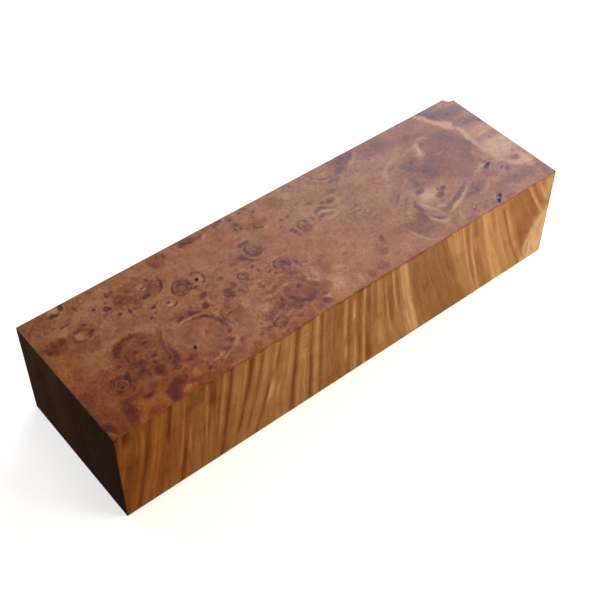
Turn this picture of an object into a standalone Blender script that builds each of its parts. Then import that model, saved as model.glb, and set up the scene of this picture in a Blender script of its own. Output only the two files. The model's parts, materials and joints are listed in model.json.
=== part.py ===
"""Sawn block of maple burl, the stock that a knife handle is cut from.

One solid piece of wood with six flat sawn faces, lightly eased arrises, a small
corner broken off the top, and the few open bark pockets of the burl's buds.
The block lies on its wide underside. +X runs along its length, -Y is the striped
long side, +Z is the face that shows the eyes. The origin is the underside's centre.
Lengths are in metres.
"""

import math

import bmesh
import bpy
from mathutils import Matrix, Vector, noise

# Driving dimensions
BLOCK_LENGTH = 0.1200
BLOCK_WIDTH = 0.0355
BLOCK_HEIGHT = 0.0256

# The arrises are only broken with fine paper, so they stay crisp.
ARRIS_RADIUS = 0.00035
ARRIS_SEGMENTS = 2

# The corner that broke off, at the top of the far right end: how far the break
# reaches along the length, across the width and down the upright fibres.
CHIP_ALONG = 0.0021
CHIP_ACROSS = 0.0019
CHIP_DOWN = 0.0052
CHIP_SUBDIVISIONS = 3
CHIP_ROUGHNESS = 0.13
CHIP_GRAIN = 1.7

# Open bark pockets on the top face. Each is (from the left end, from the back edge,
# half length, half width, depth, turn in degrees), in millimetres on the face.
BARK_POCKETS_MM = {
    "pocket_round": (35.8, 11.9, 0.50, 0.36, 1.1, 70.0),
    "pocket_small": (24.7, 26.7, 0.42, 0.32, 1.0, 20.0),
    "pocket_long": (108.8, 24.2, 1.20, 0.36, 1.3, 25.0),
    "pocket_wide": (102.8, 33.8, 1.30, 0.48, 1.3, 32.0),
}
POCKET_SEGMENTS = 14
POCKET_RINGS = 8

MILLIMETRE = 0.001
BURL_BROWN = (0.32, 0.135, 0.055, 1.0)
BURL_ROUGHNESS = 0.42


def clear_scene():
    """Remove whatever the startup scene holds."""
    for old in list(bpy.data.objects):
        bpy.data.objects.remove(old)


def new_collection(name):
    """A collection linked to the scene."""
    made = bpy.data.collections.new(name)
    bpy.context.scene.collection.children.link(made)
    return made


def move_to(obj, collection):
    """Keep obj in this collection only."""
    for held_by in list(obj.users_collection):
        held_by.objects.unlink(obj)
    collection.objects.link(obj)


def burl_material():
    """Reddish brown wood with a satin, paper-sanded surface."""
    made = bpy.data.materials.new("maple_burl")
    made.use_nodes = True
    shader = made.node_tree.nodes["Principled BSDF"]
    shader.inputs["Base Color"].default_value = BURL_BROWN
    shader.inputs["Roughness"].default_value = BURL_ROUGHNESS
    shader.inputs["Metallic"].default_value = 0.0
    made.diffuse_color = BURL_BROWN
    return made


def sawn_block(collection, material):
    """The block itself, a box with eased arrises, standing on z = 0."""
    bpy.ops.mesh.primitive_cube_add(size=1.0)
    block = bpy.context.active_object
    block.name = "maple_burl_block"
    block.data.name = "maple_burl_block"
    size = Matrix.Diagonal((BLOCK_LENGTH, BLOCK_WIDTH, BLOCK_HEIGHT, 1.0))
    block.data.transform(Matrix.Translation((0.0, 0.0, BLOCK_HEIGHT / 2)) @ size)
    block.data.materials.append(material)
    arrises = block.modifiers.new("eased_arrises", "BEVEL")
    arrises.width = ARRIS_RADIUS
    arrises.segments = ARRIS_SEGMENTS
    arrises.limit_method = "ANGLE"
    move_to(block, collection)
    return block


def as_cutter(obj, collection):
    """Keep obj out of the render: it only shapes the block."""
    obj.hide_render = True
    obj.display_type = "WIRE"
    move_to(obj, collection)
    return obj


def corner_break(collection):
    """The lump that is missing at the far right corner, long in the upright grain."""
    mesh = bpy.data.meshes.new("corner_break")
    shape = bmesh.new()
    bmesh.ops.create_icosphere(shape, subdivisions=CHIP_SUBDIVISIONS, radius=1.0)
    for vertex in shape.verts:
        swell = noise.noise(vertex.co * CHIP_GRAIN + Vector((4.2, 1.3, 0.7)))
        vertex.co *= 1.0 + CHIP_ROUGHNESS * 2 * swell
    shape.transform(Matrix.Diagonal((CHIP_ALONG, CHIP_ACROSS, CHIP_DOWN, 1.0)))
    shape.to_mesh(mesh)
    shape.free()
    cutter = bpy.data.objects.new("corner_break", mesh)
    collection.objects.link(cutter)
    cutter.location = (BLOCK_LENGTH / 2, BLOCK_WIDTH / 2, BLOCK_HEIGHT)
    return as_cutter(cutter, collection)


def bark_pocket(name, collection):
    """A small blind hollow in the top face, where a bud left bark behind."""
    from_end, from_back, half_length, half_width, depth, turn = BARK_POCKETS_MM[name]
    bpy.ops.mesh.primitive_uv_sphere_add(
        segments=POCKET_SEGMENTS, ring_count=POCKET_RINGS, radius=1.0
    )
    cutter = bpy.context.active_object
    cutter.name = name
    size = Vector((half_length, half_width, depth)) * MILLIMETRE
    cutter.data.transform(Matrix.Diagonal(size.to_4d()))
    cutter.rotation_euler.z = math.radians(turn)
    cutter.location = (
        from_end * MILLIMETRE - BLOCK_LENGTH / 2,
        BLOCK_WIDTH / 2 - from_back * MILLIMETRE,
        BLOCK_HEIGHT,
    )
    return as_cutter(cutter, collection)


def main():
    """Build the block and cut its broken corner and bark pockets."""
    clear_scene()
    wood = new_collection("maple_burl")
    cutters = new_collection("cutters")
    block = sawn_block(wood, burl_material())
    corner_break(cutters)
    for name in BARK_POCKETS_MM:
        bark_pocket(name, cutters)
    losses = block.modifiers.new("broken_corner_and_pockets", "BOOLEAN")
    losses.operation = "DIFFERENCE"
    losses.operand_type = "COLLECTION"
    losses.collection = cutters
    losses.solver = "EXACT"


main()
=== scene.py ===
"""Looks of the maple burl block: one sawn block of figured burl wood on a pale floor.

The wood grew as one piece. Its buds stand nearly upright in it, so the broad faces cut
them across and show eyes, rings and swirls, and the long sides and the ends cut them
lengthwise and show upright stripes. Places in the figure are in millimetres on a face:
the first is measured from the left end (on an end, from the back edge), the second from
the back edge on a broad face and down from the top edge on the others.
"""

import json
import logging
import math
from collections.abc import Sequence
from dataclasses import dataclass, field
from enum import Enum
from functools import cached_property

import bmesh
import bpy
import numpy as np
from mathutils import Matrix, Vector, noise

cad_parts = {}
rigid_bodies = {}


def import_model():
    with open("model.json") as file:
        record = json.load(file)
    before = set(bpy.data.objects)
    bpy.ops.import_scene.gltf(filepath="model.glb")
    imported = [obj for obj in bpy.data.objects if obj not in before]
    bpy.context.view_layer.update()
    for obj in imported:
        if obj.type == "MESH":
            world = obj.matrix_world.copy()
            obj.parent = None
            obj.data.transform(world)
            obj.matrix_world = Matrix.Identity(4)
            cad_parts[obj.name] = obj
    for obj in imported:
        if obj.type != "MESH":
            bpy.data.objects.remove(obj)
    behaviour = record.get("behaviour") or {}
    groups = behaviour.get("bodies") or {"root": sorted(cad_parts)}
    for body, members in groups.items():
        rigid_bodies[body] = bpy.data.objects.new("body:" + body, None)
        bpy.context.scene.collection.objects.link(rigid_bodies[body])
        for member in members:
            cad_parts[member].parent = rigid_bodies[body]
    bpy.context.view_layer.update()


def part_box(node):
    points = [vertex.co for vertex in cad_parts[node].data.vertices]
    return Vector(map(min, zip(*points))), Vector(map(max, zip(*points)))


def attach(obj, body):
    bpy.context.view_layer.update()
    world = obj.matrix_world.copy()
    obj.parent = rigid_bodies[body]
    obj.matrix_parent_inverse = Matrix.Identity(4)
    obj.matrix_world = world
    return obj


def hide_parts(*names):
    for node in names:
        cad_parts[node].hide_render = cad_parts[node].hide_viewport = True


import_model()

log = logging.getLogger("maple_burl")

BLOCK_NODE = "maple_burl_block"
BODY = "root"
MILLIMETRE = 0.001

# Length of wood, in millimetres, over which the mesh blurs a mark
MESH_BLUR = 0.45

# Pale rims: the weakest mark that has one, its strength and its width
RIM_FROM = 0.38
RIM_STRENGTH = 0.36
RIM_WIDTH = 0.42

Array = np.ndarray
Colour = tuple[float, float, float]
Sizes = tuple[float, ...]
Socket = bpy.types.NodeSocket


class Mark(Enum):
    """What a mark in the wood is made of."""

    BARK = "bark"
    HEART = "heart"
    SAP = "sap"
    LIGHT = "light"
    SHADE = "shade"
    GLOW = "glow"
    CURDLE = "curdle"
    CURL = "curl"
    SLATE = "slate"


class Page(Enum):
    """A face of the block, as the axis that it faces along and which way."""

    TOP = (2, 1)
    UNDERSIDE = (2, -1)
    FRONT = (1, -1)
    BACK = (1, 1)
    LEFT_END = (0, -1)
    RIGHT_END = (0, 1)


BARK, HEART, SAP, LIGHT, SHADE, GLOW, CURDLE, CURL, SLATE = Mark


def smooth_step(low: float, high: float, value: Array) -> Array:
    """Rises smoothly from 0 at low to 1 at high, or falls where low is above high."""
    share = np.clip((value - low) / (high - low), 0.0, 1.0)
    return share * share * (3.0 - 2.0 * share)


class Wander:
    """Smooth random values in space, between -1 and 1, the same each run."""

    # Cells of the lattice along each axis
    CELLS = 32

    def __init__(self, seed: int) -> None:
        """Fills the lattice.

        Args:
            seed: Chooses the pattern.
        """
        draw = np.random.default_rng(seed)
        self.lattice = draw.uniform(-1.0, 1.0, (self.CELLS,) * 3)

    def at(self, x: Array, y: Array, z: Array, scale: float) -> Array:
        """Reads the values.

        Args:
            x: First coordinate of each point.
            y: Second coordinate of each point.
            z: Third coordinate of each point.
            scale: Length of one lattice cell, in the coordinates' unit.

        Returns:
            One value for each point.
        """
        corners = []
        shares = []
        for along in (x, y, z):
            place = along / scale
            floor = np.floor(place)
            part = place - floor
            corners.append(floor.astype(int))
            shares.append(part * part * (3.0 - 2.0 * part))
        total = np.zeros_like(x)
        for corner in range(8):
            steps = [corner >> axis & 1 for axis in range(3)]
            index = tuple((c + s) % self.CELLS for c, s in zip(corners, steps))
            weight = np.ones_like(x)
            for step, share in zip(steps, shares):
                weight *= share if step else 1.0 - share
            total += weight * self.lattice[index]
        return total


@dataclass(frozen=True)
class Spot:
    """A soft-edged oval mark.

    Attributes:
        mark: What it is made of.
        x: Centre along the face.
        y: Centre across or down the face.
        rx: Half length.
        ry: Half width.
        depth: Strength at the middle, up to 1.
        turn: Degrees from the face's first axis to the long one.
        soft: Share of the radius over which it fades.
    """

    mark: Mark
    x: float
    y: float
    rx: float
    ry: float
    depth: float
    turn: float = 0.0
    soft: float = 0.6

    # Largest spot with a rim, where the rim is strongest, and how far it reaches
    RIMMED = 1.3
    RIM_AT = 1.62
    RIM_REACH = 2.1

    def reach(self) -> tuple[float, float, float]:
        """Centre of the mark and how far it reaches."""
        return self.x, self.y, max(self.rx, self.ry) * max(1.0 + self.soft, self.RIM_REACH)

    def cover(self, x: Array, y: Array) -> Array:
        """The mark's strength at each place.

        Args:
            x: First coordinate of each place.
            y: Second coordinate of each place.

        Returns:
            The strength, from 0 to 1.
        """
        away = oval_distance(x - self.x, y - self.y, self.rx, self.ry, self.turn)
        depth = sharpened(self.depth, math.sqrt(self.rx * self.ry))
        return depth * smooth_step(1.0 + self.soft, 1.0 - self.soft, away)

    def rim(self, x: Array, y: Array) -> Array:
        """Strength of the pale rim round a small dark mark.

        Args:
            x: First coordinate of each place.
            y: Second coordinate of each place.

        Returns:
            The strength, from 0 to 1.
        """
        away = oval_distance(x - self.x, y - self.y, self.rx, self.ry, self.turn)
        small = max(self.rx, self.ry) < self.RIMMED
        return pale_rim(self.mark, self.depth if small else 0.0, away, self.RIM_AT)


def sharpened(depth: float, size: float) -> float:
    """A mark's strength, raised where it is so small that the mesh would blur it."""
    return min(1.0, depth * (1.0 + MESH_BLUR / size))


def pale_rim(mark: Mark, depth: float, away: Array, middle: float) -> Array:
    """Pale wood just outside a strong dark mark.

    Args:
        mark: What the mark is made of.
        depth: The mark's strength.
        away: Distance from the mark, counted in its own size.
        middle: Where the rim is strongest, counted so too.

    Returns:
        The rim's strength at each place.
    """
    if mark is not BARK or depth < RIM_FROM:
        return np.zeros_like(away)
    return RIM_STRENGTH * depth * smooth_step(RIM_WIDTH, 0.0, np.abs(away - middle))


def oval_distance(dx: Array, dy: Array, rx: float, ry: float, turn: float) -> Array:
    """Distance from an oval's centre, counted so that its edge is at 1.

    Args:
        dx: Distance from the centre along the face.
        dy: Distance from the centre across or down it.
        rx: Half length of the oval.
        ry: Half width of the oval.
        turn: Degrees that the oval is turned by.

    Returns:
        The distances.
    """
    angle = math.radians(turn)
    along = dx * math.cos(angle) + dy * math.sin(angle)
    across = dy * math.cos(angle) - dx * math.sin(angle)
    return np.hypot(along / rx, across / ry)


@dataclass(frozen=True)
class Ring:
    """The outline of an oval, or a stretch of it.

    Attributes:
        mark: What it is made of.
        x: Centre along the face.
        y: Centre across or down the face.
        rx: Half length.
        ry: Half width.
        width: Width of the line.
        depth: Strength on the line, up to 1.
        start: Angle where the stretch begins, in degrees, 0 to the right, 90 down.
        sweep: Degrees that the stretch covers.
        turn: Degrees from the face's first axis to the oval's.
    """

    mark: Mark
    x: float
    y: float
    rx: float
    ry: float
    width: float
    depth: float
    start: float = 0.0
    sweep: float = 360.0
    turn: float = 0.0

    # Full share of the line's width, and degrees beyond and before its ends that it fades
    CORE = 0.15
    FADE_OUT = 12.0
    FADE_IN = 18.0

    def reach(self) -> tuple[float, float, float]:
        """Centre of the mark and how far it reaches."""
        beyond = 1.0 + self.width / math.sqrt(self.rx * self.ry)
        return self.x, self.y, max(self.rx, self.ry) * beyond

    def cover(self, x: Array, y: Array) -> Array:
        """The mark's strength at each place.

        Args:
            x: First coordinate of each place.
            y: Second coordinate of each place.

        Returns:
            The strength, from 0 to 1.
        """
        dx = x - self.x
        dy = y - self.y
        away = oval_distance(dx, dy, self.rx, self.ry, self.turn)
        off_line = np.abs(away - 1.0) * math.sqrt(self.rx * self.ry)
        line = smooth_step(self.width, self.CORE * self.width, off_line)
        if self.sweep < 360.0:
            half = self.sweep / 2
            angle = np.arctan2(dy, dx) - math.radians(self.start + half)
            off_middle = np.abs(np.degrees(np.arctan2(np.sin(angle), np.cos(angle))))
            line = line * smooth_step(half + self.FADE_OUT, half - self.FADE_IN, off_middle)
        return sharpened(self.depth, 2.0 * self.width) * line


@dataclass(frozen=True)
class Stroke:
    """A line that runs smoothly through a few points and tapers at its ends.

    Attributes:
        mark: What it is made of.
        points: Places that it runs through.
        width: Width at its middle.
        depth: Strength on the line, up to 1.
    """

    mark: Mark
    points: Sequence[tuple[float, float]]
    width: float
    depth: float

    # Steps between two points
    STEPS = 6

    # Share of the length that tapers, how it tapers, and the least share of the width
    TAPER = 0.35
    TAPER_CURVE = 0.6
    THINNEST = 0.12

    # Full share of the width, where the rim is strongest, and how far it reaches
    CORE = 0.2
    RIM_AT = 1.35
    RIM_REACH = 2.2

    def reach(self) -> tuple[float, float, float]:
        """Centre of the mark and how far it reaches.

        Returns:
            The centre along and across the face, and the reach from it.
        """
        curve = self.path()
        middle = (curve.min(axis=0) + curve.max(axis=0)) / 2
        farthest = np.abs(curve - middle).max()
        return float(middle[0]), float(middle[1]), float(farthest) + self.RIM_REACH * self.width

    def path(self) -> Array:
        """The points of a smooth curve through the stroke's own points.

        Returns:
            One row for each point.
        """
        given = np.array(self.points, dtype=float)
        padded = np.vstack([2 * given[0] - given[1], given, 2 * given[-1] - given[-2]])
        curve = []
        for i in range(len(given) - 1):
            before, a, b, after = padded[i : i + 4]
            for t in np.arange(self.STEPS) / self.STEPS:
                bend = (2 * before - 5 * a + 4 * b - after) * t**2
                bend = bend + (3 * a - before - 3 * b + after) * t**3
                curve.append(0.5 * (2 * a + (b - before) * t + bend))
        curve.append(given[-1])
        return np.array(curve)

    def cover(self, x: Array, y: Array) -> Array:
        """The mark's strength at each place.

        Args:
            x: First coordinate of each place.
            y: Second coordinate of each place.

        Returns:
            The strength, from 0 to 1.
        """
        away, full = self.away(x, y)
        return sharpened(self.depth, 2.0 * self.width) * full * smooth_step(1.0, self.CORE, away)

    def rim(self, x: Array, y: Array) -> Array:
        """Strength of the pale rim along a strong dark line.

        Args:
            x: First coordinate of each place.
            y: Second coordinate of each place.

        Returns:
            The strength, from 0 to 1.
        """
        away, full = self.away(x, y)
        return full * pale_rim(self.mark, self.depth, away, self.RIM_AT)

    def away(self, x: Array, y: Array) -> tuple[Array, Array]:
        """Distance of each place from the line.

        Args:
            x: First coordinate of each place.
            y: Second coordinate of each place.

        Returns:
            The distance, counted in the line's width there, and that width's share of its
            full width.
        """
        curve = self.path()
        nearest = np.full_like(x, 1e9)
        place = np.zeros_like(x)
        count = len(curve) - 1
        for i in range(count):
            step = curve[i + 1] - curve[i]
            share = (x - curve[i][0]) * step[0] + (y - curve[i][1]) * step[1]
            share = np.clip(share / max(float(step @ step), 1e-9), 0.0, 1.0)
            gap = np.hypot(x - curve[i][0] - share * step[0], y - curve[i][1] - share * step[1])
            nearer = gap < nearest
            nearest = np.where(nearer, gap, nearest)
            place = np.where(nearer, (i + share) / count, place)
        from_end = np.minimum(place, 1.0 - place) / self.TAPER
        full = np.clip(from_end, self.THINNEST, 1.0) ** self.TAPER_CURVE
        return nearest / (self.width * full), full


@dataclass(frozen=True)
class Band:
    """A stripe on a side, which follows the lean of the fibres.

    Attributes:
        mark: What it is made of.
        at: Where it meets the top edge.
        width: Its width.
        depth: Strength on its middle, up to 1.
        top: How far down it begins.
        bottom: How far down it ends.
    """

    mark: Mark
    at: float
    width: float
    depth: float
    top: float = -3.0
    bottom: float = 30.0

    # Millimetres over which it fades at its ends and its sides, and the most that a side
    # takes of half its width
    FADE = 2.4
    EDGE = 0.40
    EDGE_SHARE = 0.7

    def cover(self, fibre: Array, down: Array) -> Array:
        """The stripe's strength at each place, whose fibre starts at this place.

        Args:
            fibre: Where the fibre through each place meets the top edge.
            down: How far down each place is.

        Returns:
            The strength, from 0 to 1.
        """
        half = self.width / 2
        edge = min(self.EDGE, half * self.EDGE_SHARE)
        profile = smooth_step(half + edge, half - edge, np.abs(fibre - self.at))
        begins = smooth_step(self.top - self.FADE / 2, self.top + self.FADE / 2, down)
        ends = smooth_step(self.bottom + self.FADE / 2, self.bottom - self.FADE / 2, down)
        return sharpened(self.depth, 2.0 * self.width) * profile * begins * ends


@dataclass(frozen=True)
class Knob:
    """A bud or a swelling that the growth layers bend around.

    Attributes:
        x: Centre along the face.
        y: Centre across the face.
        radius: How far it reaches.
        rise: How far it lifts the layers.
    """

    x: float
    y: float
    radius: float
    rise: float


@dataclass(frozen=True)
class Figure:
    """Everything that shows on one face.

    Attributes:
        marks: Marks placed on the face itself.
        bands: Stripes that follow the lean of the fibres.
        knobs: What the growth layers bend around.
        slope: How the layers climb along and across the face, in layers per millimetre.
        places: Places along the face where tone and lean are given.
        tone: Lightness at each place: the wood's own tone, and on the left end painted shade as
            well.
        lean: How far the fibres lean along the face for each millimetre down, at each place.
        drawn: How far the figure is drawn out along the growth layers, from 0 to 1.
        budded: How closely the wood is budded all over, from 0 to 1.
        blush: How red the wood is all over, from 0 to 1.
    """

    marks: Sequence[Spot | Ring | Stroke] = ()
    bands: Sequence[Band] = ()
    knobs: Sequence[Knob] = ()
    slope: tuple[float, float] = (1.0, 0.0)
    places: Sequence[float] = (0.0, 120.0)
    tone: Sequence[float] = (0.5, 0.5)
    lean: Sequence[float] = ()
    drawn: float = 0.0
    budded: float = 0.0
    blush: float = 0.0

    # Rounds of the search for a fibre's start, depth of a side in millimetres, and the
    # lean at the top edge against the whole lean
    SETTLE = 6
    DEPTH = 25.6
    BOW = 0.7

    def fibre_start(self, along: Array, down: Array) -> Array:
        """Where the fibre through each place meets the top edge.

        Args:
            along: Place along the face.
            down: Place down the face.

        Returns:
            The place along the top edge, found in a few rounds.
        """
        start = along
        if self.lean:
            share = down / self.DEPTH
            bowed = down * (self.BOW + (1.0 - self.BOW) * share)
            for _ in range(self.SETTLE):
                start = along - np.interp(start, self.places, self.lean) * bowed
        return start


def spots(mark: Mark, *given: Sizes) -> list[Spot]:
    """Spots of one kind, each given by the rest of its fields in their order."""
    return [Spot(mark, *sizes) for sizes in given]


def rings(mark: Mark, *given: Sizes) -> list[Ring]:
    """Rings of one kind, each given by the rest of its fields in their order."""
    return [Ring(mark, *sizes) for sizes in given]


def strokes(mark: Mark, *given: Sizes) -> list[Stroke]:
    """Strokes of one kind, each a width, a depth, and the x and y of every point in turn."""
    return [Stroke(mark, tuple(zip(s[2::2], s[3::2])), s[0], s[1]) for s in given]


def bands(mark: Mark, *given: Sizes) -> list[Band]:
    """Bands of one kind, each given by the rest of its fields in their order."""
    return [Band(mark, *sizes) for sizes in given]


def knobs(*given: Sizes) -> list[Knob]:
    """Knobs, each given by its fields in their order."""
    return [Knob(*sizes) for sizes in given]


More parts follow.
